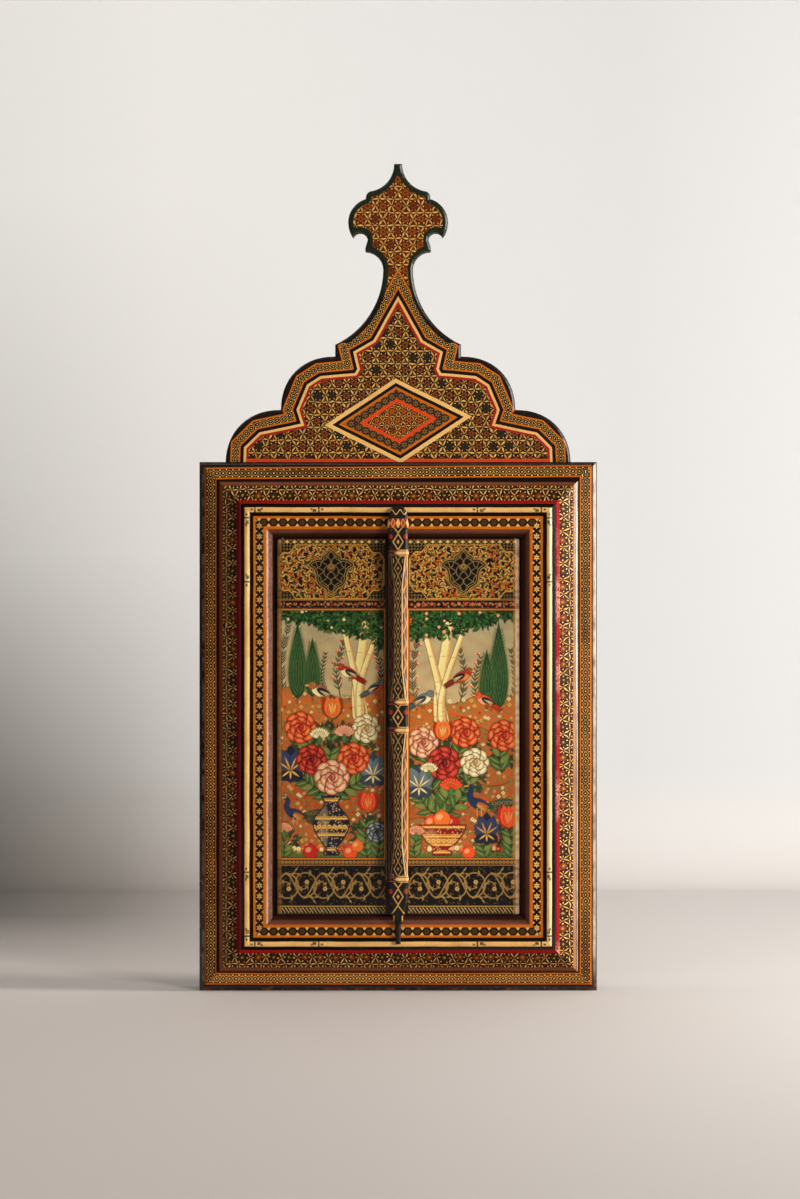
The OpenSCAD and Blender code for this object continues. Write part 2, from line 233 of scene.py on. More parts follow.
paper, tree, shader = start("sweep_paper")
where, x, y, z = place(tree)
# A painted shadow lies low on the left of the floor and the wall, where the case's shadow falls.
low_shadow_paint = x.ramp(-40.0, -190.0) * z.ramp(230.0, 20.0) * 0.4
high_shadow_paint = x.ramp(-60.0, -330.0) * z.ramp(480.0, 0.0) * 0.7
painted_shadow_mask = (low_shadow_paint + high_shadow_paint) * y.ramp(60.0, 420.0)
grain = noise(tree, where, 0.15)
# The floor is painted lighter to the right and darker far out in front, and the wall darker to the
# right: painted light and shade in the paper's tone.
floor_tone = lay(x.ramp(-20.0, 190.0), rgb(215, 206, 199), rgb(222, 217, 212))
floor_tone = lay(y.ramp(-700.0, -1500.0), floor_tone, rgb(118, 115, 112))
wall_tone = lay(x.ramp(-160.0, 160.0), rgb(234, 234, 233), rgb(208, 209, 210))
tone = lay(z.ramp(0.0, 80.0), floor_tone, wall_tone)
tone = lay(painted_shadow_mask, tone, rgb(112, 107, 101))
tone = lay(grain * 0.05, tone, rgb(205, 202, 198))
give(shader, Base_Color=tone, Roughness=0.85, Specular_IOR_Level=0.15)
# From behind the sheet is not seen, so that the case can be looked at from all sides.
blend(tree, add(tree, "NewGeometry").outputs["Backfacing"], shader, add(tree, "BsdfTransparent"),
      "Material Output")

cove_r, wall_y, wall_top, sweep_w = 60.0, 660.0, 3200.0, 7000.0
turn = np.linspace(0.0, math.pi / 2, 24)
profile = np.vstack([
    [[-sweep_w, 0.0], [-600.0, 0.0], [200.0, 0.0]],
    np.stack([wall_y - cove_r + cove_r * np.sin(turn), cove_r - cove_r * np.cos(turn)], -1),
    [[wall_y, 900.0], [wall_y, wall_top]]])
across = np.linspace(-sweep_w, sweep_w, 9)
grid = np.zeros((len(profile), len(across), 3))
grid[..., 0] = across
grid[..., 1:] = profile[:, None, :]
sweep = surface("sweep", grid, paper)

world = bpy.data.worlds.new("studio")
world.use_nodes = True
tree = world.node_tree
dim = fill(tree.nodes["Background"], rgb(250, 250, 252), 0.04)
seen = add(tree, "Background", rgb(104, 103, 102), 1.0)
path = add(tree, "LightPath").outputs
looked_at = Mark(path["Is Camera Ray"]).most(path["Is Glossy Ray"]).most(path["Is Transmission Ray"])
blend(tree, looked_at, dim, seen, "World Output")
scene.world = world


def lamp(name, spot, aim, width, height, watts, colour):
    """A flat soft lamp at a spot, turned towards its aim, both in metres."""
    data = bpy.data.lights.new(name, "AREA")
    data.shape, data.size, data.size_y = "RECTANGLE", width, height
    data.energy, data.color = watts, colour[:3]
    piece = bpy.data.objects.new(name, data)
    way = np.array(aim) - np.array(spot)
    flat = math.hypot(way[0], way[1])
    piece.location = spot
    piece.rotation_euler = (math.atan2(flat, -way[2]), 0.0, math.atan2(-way[0], way[1]))
    scene.collection.objects.link(piece)


lamp("key_lamp", (1.70, -2.50, 0.75), (0.0, 0.0, 0.20), 0.9, 0.9, 61.0, rgb(255, 251, 245))
lamp("side_lamp", (1.0, -0.18, 0.45), (0.0, -0.02, 0.18), 0.2, 0.7, 13.0, rgb(255, 251, 246))
lamp("fill_lamp", (-0.5, -1.6, 2.2), (0.0, 0.0, 0.20), 1.6, 1.2, 6.5, rgb(252, 250, 255))
lamp("wall_lamp", (-0.9, 0.1, 1.4), (-0.35, 0.66, 0.75), 0.5, 0.5, 2.6, rgb(255, 255, 255))


# Boards of the box
# Four thin boards, planed and mitred, painted near black under varnish. Their front edges
# carry a gold chain between two orange lines, and the edges are rubbed by handling.


def effect(name, takes, gives):
    """A new node group: its tree, what goes in and what comes out. The sockets are given as words,
    each a number unless a colon and its kind follow."""
    group = bpy.data.node_groups.new(name, "ShaderNodeTree")
    for words, in_out in ((takes, "INPUT"), (gives, "OUTPUT")):
        for label, _, kind in (word.partition(":") for word in words.split()):
            socket = "NodeSocket" + (kind or "Float")
            group.interface.new_socket(label, in_out=in_out, socket_type=socket)
    source, sink = group.nodes.new("NodeGroupInput"), group.nodes.new("NodeGroupOutput")
    return group, source.outputs, sink


def use(tree, group, *values):
    """Places a node group in a material and fills its inputs."""
    node = tree.nodes.new("ShaderNodeGroup")
    node.node_tree = group
    return fill(node, *values).outputs


def marks(tree, group, *values):
    """The same, with each output as a Mark."""
    return [Mark(part) for part in use(tree, group, *values)]


def dress(material, *names):
    """Gives the solids of these names their finish."""
    for name in names:
        nodes[name].data.materials.clear()
        nodes[name].data.materials.append(material)


# Old varnish: amber blotches, uneven gloss and a net of fine cracks.
old_varnish, into, out = effect("old_varnish", "Place:Vector Amber", "Tone:Color Gloss Relief")
blotch = noise(old_varnish, into["Place"], 0.035, 3.0)
speck = noise(old_varnish, into["Place"], 0.9, 3.0)
crack = give(add(old_varnish, "TexVoronoi", into["Place"], feature="DISTANCE_TO_EDGE"), Scale=0.22)
crazed = noise(old_varnish, into["Place"], 0.05).ramp(0.5, 0.68)
craze = Mark(crack.outputs["Distance"]).under(0.012, 0.02) * crazed
amber = Mark(into["Amber"]) * blotch.ramp(0.42, 0.72)
coat = lay(amber, rgb(255, 247, 218), rgb(232, 198, 142))
coat = lay(speck.ramp(0.55, 0.85) * 0.45, coat, rgb(190, 178, 165), "MULTIPLY")
coat = lay(craze * 0.5, coat, rgb(70, 50, 36), "MULTIPLY")
fill(out, coat, 0.18 + blotch * 0.10 + speck * 0.08, speck * 0.35 - craze * 0.8)

# Where a point lies on the mitred front: along its side, and in from the outer edge.
half_w, half_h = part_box("base_board")[1].x / MM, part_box("top_board")[1].z / MM / 2
round_front, into, out = effect("round_front", "Place:Vector", "Along Inward Upright")
split = add(round_front, "SeparateXYZ", into["Place"])
x, z = Mark(split.outputs[0]), Mark(split.outputs[2]) - half_h
from_side, from_end = half_w - x.size(), half_h - z.size()
upright = from_side.do("LESS_THAN", from_end)
shake = (noise(round_front, into["Place"], 0.07) - 0.5) * 0.5
fill(out, x + upright * (z - x), from_side.least(from_end) + shake, upright)

# A gold chain: two strands that cross at each pitch, a dot in each eye and dots outside.
gold_chain, into, out = effect("gold_chain", "Along Across Pitch Half", "Gold Dots")
turns = Mark(into["Along"]) / Mark(into["Pitch"])
v = Mark(into["Across"]) / Mark(into["Half"])
stretch = Mark(into["Pitch"]) / Mark(into["Half"])
strand = (turns * math.pi).do("SINE").size() * 0.66
links = (v.size() - strand).size().under(0.095, 0.10)
dots = []
for shift, out_by in ((0.5, 0.0), (0.0, 0.82)):
    du, dv = (turns + shift).nearest(1.0) * stretch, v.size() - out_by
    dots.append((du * du + dv * dv).do("SQRT").under(0.165, 0.10))
dots = reduce(Mark.most, dots)
fill(out, links.most(dots), dots)


def varnish(tree, shader, colour, where, amber=0.5, coat=0.28, swell=None, worn=0.0,
            coat_rough=0.2, shine=0.2):
    """Puts a painted colour under the old varnish, with its tone, gloss and fine cracks. A swell
    is a height in millimetres that rounds the surface. Worn varnish is less glossy, and the clear
    coat may lie only in places."""
    tone, gloss, relief = marks(tree, old_varnish, where, amber)
    tinted = add(tree, "Mix", 1.0, data_type="RGBA", blend_type="MULTIPLY")
    plug(tinted.inputs[6], colour)
    plug(tinted.inputs[7], tone)
    height = relief * 0.05
    bump = give(add(tree, "Bump"), Distance=MM, Height=height if swell is None else height + swell)
    give(shader, Base_Color=tinted.outputs[2], Roughness=gloss + worn if worn else gloss,
         Normal=bump.outputs[0], Coat_Weight=coat, Coat_Roughness=coat_rough,
         Specular_IOR_Level=shine)


def left_and_right(upright, x):
    """Masks of the left and the right upright of the front."""
    return upright * x.under(0.0, 1.0), upright * x.over(0.0, 1.0)


black_ground, orange_line, gold = rgb(22, 13, 9), rgb(196, 106, 20), rgb(200, 158, 86)
pitch_black, dark_edge, rubbed = rgb(18, 11, 8), rgb(40, 22, 12), rgb(126, 86, 50)
outer_line, chain_band, inner_line = (2.7, 3.5), (3.6, 7.8), (7.9, 8.6)
head_shift, head_slope, foot_shift = 0.5, 0.006, 0.4
side_line, round_start, round_fall = 9.2, 9.4, 0.0505
board_paint, tree, shader = start("board_paint")
where, x, y, z = place(tree)
along, inward, upright = marks(tree, round_front, where)
on_front = y.under(case_front + 0.8, 0.3)
left_side, right_side = left_and_right(upright, x)
foot_side = (1.0 - upright) * z.under(half_h, 1.0)
# The painted lines of the top and base boards stand a little off true.
from_side, from_head = half_w - x.size(), 2 * half_h - z
drawn = (inward - from_side.least(from_head).least(z)
         + from_side.least(from_head + head_shift + x * head_slope).least(z - foot_shift))
shift, lift = sway(tree, where, 0.5, 0.35)
chain, dots = marks(tree, gold_chain, along + shift, drawn - sum(chain_band) / 2 + lift, 3.2, 2.1)
band = drawn.between(*chain_band) * on_front
lines = drawn.between(*outer_line).most(drawn.between(*inner_line)) * on_front
patchy = noise(tree, where, 0.06, 2.0)
colour = lay(patchy.ramp(0.50, 0.60) * band * 0.7, black_ground, rgb(86, 34, 14))
colour = lay(foot_side * band * 0.7, colour, rgb(124, 66, 26))
chain_gold = lay(patchy.ramp(0.34, 0.56), rgb(150, 104, 52), gold)
colour = lay(chain * band, colour, lay(foot_side * 0.6, chain_gold, rgb(236, 200, 132)))
colour = lay(dots * band * (1.0 - upright * 0.5), colour, rgb(238, 214, 160))
colour = lay(right_side * band * 0.22, colour, dark_edge)
# On the left upright the orange lines are darkened by half: painted shade.
colour = lay(lines, colour, lay(left_side * 0.5, orange_line, rgb(70, 34, 16)))
edge_line = (y.size() - side_line).size().under(0.4) * inward.under(0.6)
colour = lay(edge_line * 0.8, colour, rgb(150, 84, 30))
rub = noise(tree, where, 0.35, 4.0).ramp(0.62, 0.70)
colour = lay(rub * (y - case_front).under(1.6, 1.0) * inward.under(1.8, 1.2), colour, rubbed)
# The outer edge: green-black in places; grey on the left, scuffs that also stand in for a sheen there
# as painted reflection; red at the foot; a pale painted highlight down the right.
scuff_and_highlight_breaks = noise(tree, where, 0.16, 5.0)
colour = lay(patchy.ramp(0.52, 0.44) * inward.under(1.3, 0.6) * 0.7, colour, rgb(42, 50, 40))
grey_scuff_and_sheen = scuff_and_highlight_breaks.ramp(0.40, 0.58) * inward.between(1.2, 2.6, 0.4) * on_front * left_side
colour = lay(grey_scuff_and_sheen * 0.8, colour, rgb(112, 98, 88))
red_edge = scuff_and_highlight_breaks.ramp(0.50, 0.42) * inward.between(0.4, 1.3, 0.4) * (0.12 + foot_side * 0.75)
colour = lay(red_edge, colour, rgb(172, 78, 32))
# Down the right edge a pale painted highlight, broken in patches and fading at the foot.
painted_edge_highlight = right_side * inward.between(0.5, 2.0, 0.3) * on_front * (0.4 + scuff_and_highlight_breaks.ramp(0.34, 0.60) * 0.6)
colour = lay(painted_edge_highlight * z.ramp(4.0, 24.0), colour, rgb(184, 168, 162))
# Shading rounds the front edge off towards the outside.
rounded = (round_start - inward).most(0.0)
edge_coat = inward.under(2.5, 0.4) * on_front
varnish(tree, shader, colour, where, 0.6, edge_coat, rounded * rounded * -round_fall * on_front,
        0.47 - on_front * 0.35, coat_rough=0.12, shine=0.06)
dress(board_paint, "base_board", "right_board", "top_board", "left_board")


# Moulded rails
# Four mitred mouldings inside the boards: a roll, a hollow slope with a painted star lattice,
# a flat crown with a band of small flowers, and a dark splayed reveal round the leaves.

# The lattice: six-pointed stars of narrow dashes in a net of triangles, a flower in each star and
# a bud in each triangle; each flower has a chance value that says which paint it gets.
star_lattice, into, out = effect(
    "star_lattice", "Along Across Pitch Slim", "Dash Flower Heart Bud Kind")
row = Mark(into["Pitch"]) * 0.866
u, v = Mark(into["Along"]) / row, Mark(into["Across"]) / row
steps = [u * math.cos(math.radians(a)) + v * math.sin(math.radians(a)) for a in (90, 210, 330)]
whole = [step.do("ROUND") for step in steps]
off = [step - near for step, near in zip(steps, whole)]
gap = [0.5 - part.size() for part in off]
closest = gap[0].least(gap[1]).least(gap[2])
farthest = gap[0].most(gap[1]).most(gap[2])
middle = gap[0] + gap[1] + gap[2] - closest - farthest
in_star = (whole[0] + whole[1] + whole[2]).size().under(0.5, 0.01)
radius = ((off[0] * off[0] + off[1] * off[1] + off[2] * off[2]) / 1.5).do("SQRT")
lobes = off[0] * off[1] * off[2] * 4.0 / (radius * radius * radius + 0.0005)
lobes = lobes * lobes
leaf = (middle - 0.035).ramp(0.0, 0.20).do("POWER", 0.7) * Mark(into["Slim"])
dash = (closest - leaf).under(0.0, 0.03)
spoke = lobes.under(0.10, 0.08) * radius.between(0.30, 0.40, 0.04) * in_star
flower = (radius - lobes * 0.05).under(0.215, 0.04)
cell = add(star_lattice, "CombineXYZ", whole[0], whole[1], whole[2]).outputs[0]
chance = add(star_lattice, "TexWhiteNoise", cell, noise_dimensions="3D").outputs["Value"]
fill(out, dash.most(spoke), flower * in_star, radius.under(0.085, 0.03) * in_star,
     farthest.under(0.205, 0.03) * (1.0 - in_star), chance)

# A row of cells along a band: how far a point is from its cell's middle, and a round flower.
flower_row, into, out = effect("flower_row", "Along Across Pitch Petals", "Flower Beside Away")
pitch, v = Mark(into["Pitch"]), Mark(into["Across"])
du = Mark(into["Along"]).nearest(pitch)
away = (du * du + v * v).do("SQRT")
lobes = (v.do("ARCTAN2", du) * Mark(into["Petals"])).do("COSINE")
fill(out, (away - lobes * 0.42).under(1.25, 0.2), pitch / 2 - du.size(), away)


def starred(tree, where, along, across, pitch, ground, dash, warm, cool, bud, share=0.55,
            slim=0.052, heart_tint=None):
    """Star lattice drawn by hand in five paints: dashes, buds, and flowers either warm or cool."""
    shift, lift = sway(tree, where, 1.3 / pitch, pitch * 0.17)
    dashes, flower, heart, buds, kind = marks(
        tree, star_lattice, along + shift, across + lift, pitch, slim)
    is_warm = kind.under(share, 0.01)
    colour = lay(buds, ground, bud)
    colour = lay(flower * is_warm, colour, warm)
    colour = lay(flower * (1.0 - is_warm), colour, cool)
    colour = lay(heart, colour, heart_tint or ground)
    return lay(dashes, colour, dash)


crimson, ivory = rgb(142, 24, 28), rgb(232, 190, 128)
# How far in from the box's outer edge each band of the moulding lies.
roll_top, slope, slope_mid, red_end = 10.3, (12.1, 19.6), 17.2, 21.2
crown_line, flower_band, reveal_line, reveal_start = (27.5, 28.6), (28.6, 32.6), (32.6, 33.9), 34.1
rail_paint, tree, shader = start("rail_paint")
where, x, y, z = place(tree)
along, inward, upright = marks(tree, round_front, where)
left_side, right_side = left_and_right(upright, x)
brush = noise(tree, where, 0.5, 2.0)
dash_gold = lay(brush.ramp(0.35, 0.65), rgb(196, 144, 78), rgb(250, 214, 148))
field = starred(tree, where, along, inward - slope_mid, 7.8, rgb(44, 22, 12), dash_gold,
                rgb(116, 58, 24), rgb(50, 42, 26), rgb(120, 62, 26), 0.5, 0.040, rgb(170, 132, 70))
# On the left upright the outer half of the slope is greyed in patches: a bloom that also stands in for
# the grey sheen there, as painted reflection.
bloom_and_sheen = noise(tree, where, 0.22, 3.0).ramp(0.36, 0.62) * inward.between(12.4, 15.6, 1.4) * left_side
field = lay(bloom_and_sheen * 0.5, field, rgb(92, 78, 68))
roll = lay(inward.over(roll_top, 0.3), rgb(38, 21, 13), rgb(112, 56, 20))
# On the right upright the roll carries a painted highlight: a pinkish band over its crest and a pale
# line on its outer side, broken in streaks.
highlight_streaks = noise(tree, where, 0.12, 4.0).ramp(0.30, 0.60)
roll_highlight = right_side * inward.over(10.7, 0.2) * (0.4 + highlight_streaks * 0.4)
roll = lay(roll_highlight, roll, rgb(192, 148, 126))
roll_highlight_line = right_side * inward.between(9.3, 10.2, 0.2) * (0.35 + highlight_streaks * 0.45)
roll = lay(roll_highlight_line, roll, rgb(206, 194, 186))
colour = lay(inward.between(*slope), roll, field)
red_line = inward.over(19.5 - upright * 0.6) * inward.under(red_end)
# The red line carries painted glints on the right upright, pale pink dashes in runs; on the left
# upright it is darker and more purple as painted shade.
fine_glints, glint_runs = noise(tree, where, 1.1, 3.0), noise(tree, where, 0.035)
painted_glints = glint_runs.ramp(0.46, 0.60) * fine_glints.ramp(0.40, 0.56) * 0.8
red_with_left_shade = lay(left_side * 0.7, crimson, rgb(80, 20, 38))
colour = lay(red_line, colour, lay(right_side * painted_glints, red_with_left_shade, rgb(224, 176, 172)))
colour = lay(inward.between(red_end, crown_line[0]), colour, rgb(16, 11, 9))
# On the top and bottom rails the band holds dark hexagons between wedges, on the uprights stars.
v = inward - sum(flower_band) / 2
hexes, hex_beside, hex_away = marks(tree, flower_row, along, v, 4.8, 6.0)
wedge = (hex_beside - (v.size() - 0.45) * 0.75).under(0.0, 0.25)
hex_band = lay(hex_away.under(1.7, 0.3), pitch_black, rgb(44, 29, 17))
hex_band = lay(hexes * hex_away.over(0.35, 0.2) * 0.5, hex_band, rgb(98, 72, 42))
hex_band = lay(wedge, hex_band, rgb(220, 174, 108))
stars, star_beside, star_away = marks(tree, flower_row, along, v, 5.3, 6.0)
tick = (star_beside - (v.size() - 0.9) * 0.8).under(0.0, 0.3)
star_band = lay(stars, rgb(34, 17, 10), rgb(224, 182, 116))
star_band = lay(star_away.under(0.3, 0.2), star_band, rgb(150, 84, 30))
star_band = lay(tick * 0.8, star_band, rgb(228, 194, 140))
# On the left upright the star band is darkened: painted shade.
star_band = lay(left_side * 0.35, star_band, dark_edge)
colour = lay(inward.between(*flower_band), colour, lay(upright, hex_band, star_band))
colour = lay(inward.between(*crown_line).most(inward.between(*reveal_line)), colour, orange_line)
# The reveal is painted as the light falls on it. Round most of the opening it is paler by the arris, a
# painted reflection, and darker deeper in, painted shade. On the left upright, which faces the light,
# it has a pale painted highlight along the arris, mottled mauve as painted reflection, and black low by
# the leaf as painted shadow.
reveal = lay(inward.over(36.0, 0.6), rgb(112, 68, 62), rgb(58, 34, 29))
mottle = noise(tree, where, 0.9, 3.0).ramp(0.35, 0.65)
lit_reveal = lay(mottle, rgb(98, 68, 70), rgb(148, 112, 112))
lit_reveal = lay(inward.over(36.9, 0.3), lit_reveal, rgb(30, 18, 15))
lit_reveal = lay(inward.under(34.9, 0.3) * (0.55 + mottle * 0.45), lit_reveal, rgb(212, 184, 174))
colour = lay(inward.over(reveal_start), colour, lay(left_side, reveal, lit_reveal))
rub = noise(tree, where, 0.30, 4.0).ramp(0.64, 0.72) * inward.between(33.2, 35.0, 0.8)
colour = lay(rub * 0.7, colour, rubbed)
# Shading deepens the hollow slope, the crest of the roll and the two small arrises.
crest_of_roll = (inward - 10.0).most(0.0).least(1.7)
relief = (inward.most(12.0).least(20.0) * 0.22 + crest_of_roll * crest_of_roll * 0.25
          + inward.most(21.3).least(22.2) * 0.78 + inward.most(34.05).least(35.0) * 0.55)
bare_edge = noise(tree, where, 0.02, 3.0).ramp(0.44, 0.56)
rail_coat = (inward.under(11.8, 0.3) + inward.between(21.4, 22.2, 0.2) * bare_edge
             + inward.between(34.0, 35.1, 0.2)) * 0.9
varnish(tree, shader, colour, where, 0.6, rail_coat, relief, 0.12, coat_rough=0.12, shine=0.06)
dress(rail_paint, "bottom_rail", "right_rail", "top_rail", "left_rail")


# Ivory beads
# Four half-round beads glued to the crown, painted ivory colour, with small groups of
# black brush ticks along them and yellowed by the varnish.
bead_in, bead_half, tick_every, tick_start = 24.3, 1.2, 40.0, 4.0
bead_paint, tree, shader = start("bead_paint")
where, x, y, z = place(tree)
along, inward, upright = marks(tree, round_front, where)
right_bead = left_and_right(upright, x)[1]
v = inward - bead_in
stain = noise(tree, where, 0.12, 4.0)
colour = lay(stain.ramp(0.45, 0.75) * 0.6, ivory, rgb(196, 146, 82))
colour = lay(noise(tree, where, 1.4, 2.0).ramp(0.66, 0.74) * 0.6, colour, rgb(120, 80, 44))
# The outer half of the right bead is paler: a painted highlight.
colour = lay(right_bead * v.under(-0.1, 0.5) * 0.85, colour, rgb(240, 224, 188))
from_corner = half_w - bead_in + upright * (half_h - half_w) - along.size()
group = from_corner.least(tick_every - from_corner) - tick_start
ticks = group.size().under(0.45, 0.2)
for spot, high, r in ((2.2, 0.3, 0.75), (3.5, -0.4, 0.45), (-1.7, -0.2, 0.5)):
    ticks = ticks.most(((group - spot).size() * 0.8).most((v - high).size()).under(r, 0.3))
smudge = noise(tree, where, 0.9, 3.0).ramp(0.22, 0.46)
colour = lay(ticks * smudge * 0.9, colour, rgb(44, 29, 18))
colour = lay(v.size().over(bead_half, 0.25), colour, rgb(34, 20, 12))
varnish(tree, shader, colour, where, 0.5, 0.2 + right_bead * 0.75)
dress(bead_paint, "bottom_bead", "right_bead", "top_bead", "left_bead")


# Slips, mirror and back
# Red lacquered slips hold the silvered glass, with a grey card and a plain wooden back
# behind it, nailed with small iron brads. The silver is clouded near its edges.
slip_paint, tree, shader = start("slip_lacquer")
where, x, y, z = place(tree)
along, inward, upright = marks(tree, round_front, where)
colour = lay(noise(tree, where, 0.08, 3.0).ramp(0.3, 0.7), rgb(112, 22, 18), rgb(146, 34, 24))
for gold_line in ((41.6, 42.2), (44.9, 45.3)):
    colour = lay(inward.between(*gold_line), colour, gold)
varnish(tree, shader, colour, where, 0.4)
dress(slip_paint, "bottom_slip", "right_slip", "top_slip", "left_slip")

silver, tree, shader = start("silvered_glass")
where, x, y, z = place(tree)
edge = (half_w - x.size()).least(half_h - (z - half_h).size())
cloud = noise(tree, where, 0.09, 5.0)
spots = (cloud + edge.ramp(60.0, 45.0) * 0.36).ramp(0.60, 0.80)
give(shader, Base_Color=lay(spots, rgb(214, 217, 214), rgb(96, 88, 76)),
     Roughness=0.03 + spots * 0.4, Metallic=1.0)
dress(silver, "mirror_glass")

card, tree, shader = start("backing_card")
where, x, y, z = place(tree)
pulp = noise(tree, where, 0.6, 5.0)
give(shader, Base_Color=lay(pulp.ramp(0.3, 0.7), rgb(138, 124, 104), rgb(164, 150, 128)),
     Roughness=0.8 + pulp * 0.15)
dress(card, "backing_card")

# Planed wood: long fibres with darker rings along the height, soiled by hands and dust.
bare_wood, tree, shader = start("bare_wood")
where, x, y, z = place(tree)
long_way = add(tree, "VectorMath", where, (1.0, 1.0, 0.05), operation="MULTIPLY").outputs[0]
fibre, ring = noise(tree, long_way, 1.6, 4.0), noise(tree, long_way, 0.16, 3.0)
bands = (ring * 9.0).do("FRACT")
tone = lay(fibre.ramp(0.3, 0.7), rgb(118, 82, 50), rgb(156, 116, 74))
tone = lay((bands - 0.5).size().over(0.34, 0.3) * 0.6, tone, rgb(88, 58, 34))
tone = lay(noise(tree, where, 0.03, 3.0).ramp(0.35, 0.7) * 0.6, tone, rgb(70, 50, 34))
relief = fibre * 0.6 + bands * 0.2
bump = give(add(tree, "Bump"), Distance=0.15 * MM, Height=relief)
give(shader, Base_Color=tone, Roughness=0.55 + relief * 0.2, Normal=bump.outputs[0])
dress(bare_wood, "back_board", "batten_pegs", "crest_dowels")

# Forged iron, dark with brown rust in its hollows.
iron, tree, shader = start("forged_iron")
where, x, y, z = place(tree)
rust_spots = noise(tree, where, 0.8, 4.0).ramp(0.45, 0.65)
give(shader, Base_Color=lay(rust_spots, rgb(92, 88, 84), rgb(96, 54, 34)),
     Roughness=0.35 + rust_spots * 0.4, Metallic=0.85)
dress(iron, "back_brads", "left_top_pin", "left_foot_pin", "right_top_pin", "right_foot_pin")


# Leaves
# Two boards that turn on pins in their round heels, gessoed, painted and varnished. Outside,
# each has a gold arabesque head, a garden picture and a scroll band; inside, red and gold lines.
leaf_front, leaf_back = (corner.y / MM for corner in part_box("left_leaf"))
leaf_foot, leaf_head = (corner.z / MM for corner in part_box("left_leaf"))
leaf_mid_x, leaf_mid_z = 33.0, (leaf_foot + leaf_head) / 2
inner_half, inner_tall, almond_half, almond_tall = 23.0, 90.0, 12.0, 30.0
leaf_paint, tree, shader = start("leaf_lacquer")
where, x, y, z = place(tree)
inside = y.over(leaf_back - 0.4, 0.2)
px, pz = (x.size() - leaf_mid_x).size(), (z - leaf_mid_z).size()
red = lay(noise(tree, where, 0.07, 3.0).ramp(0.3, 0.7), rgb(104, 22, 18), rgb(132, 32, 22))
colour = lay(inside, rgb(24, 14, 10), red)
rim = (px - inner_half).most(pz - inner_tall)
almond = (px / almond_half).do("POWER", 1.6) + (pz / almond_tall).do("POWER", 1.3)
gold_lines = rim.between(-1.2, -0.4).most(rim.between(-3.0, -2.7))
gold_lines = gold_lines.most(almond.between(0.94, 1.06, 0.03)).most(almond.between(0.50, 0.56, 0.03))
knot = marks(tree, gold_chain, z, px, 3.2, 2.0)[0]
gold_lines = gold_lines.most(knot * almond.under(0.44, 0.03))
colour = lay(gold_lines * inside, colour, gold)
varnish(tree, shader, colour, where, 0.5)
dress(leaf_paint, "left_leaf", "right_leaf")


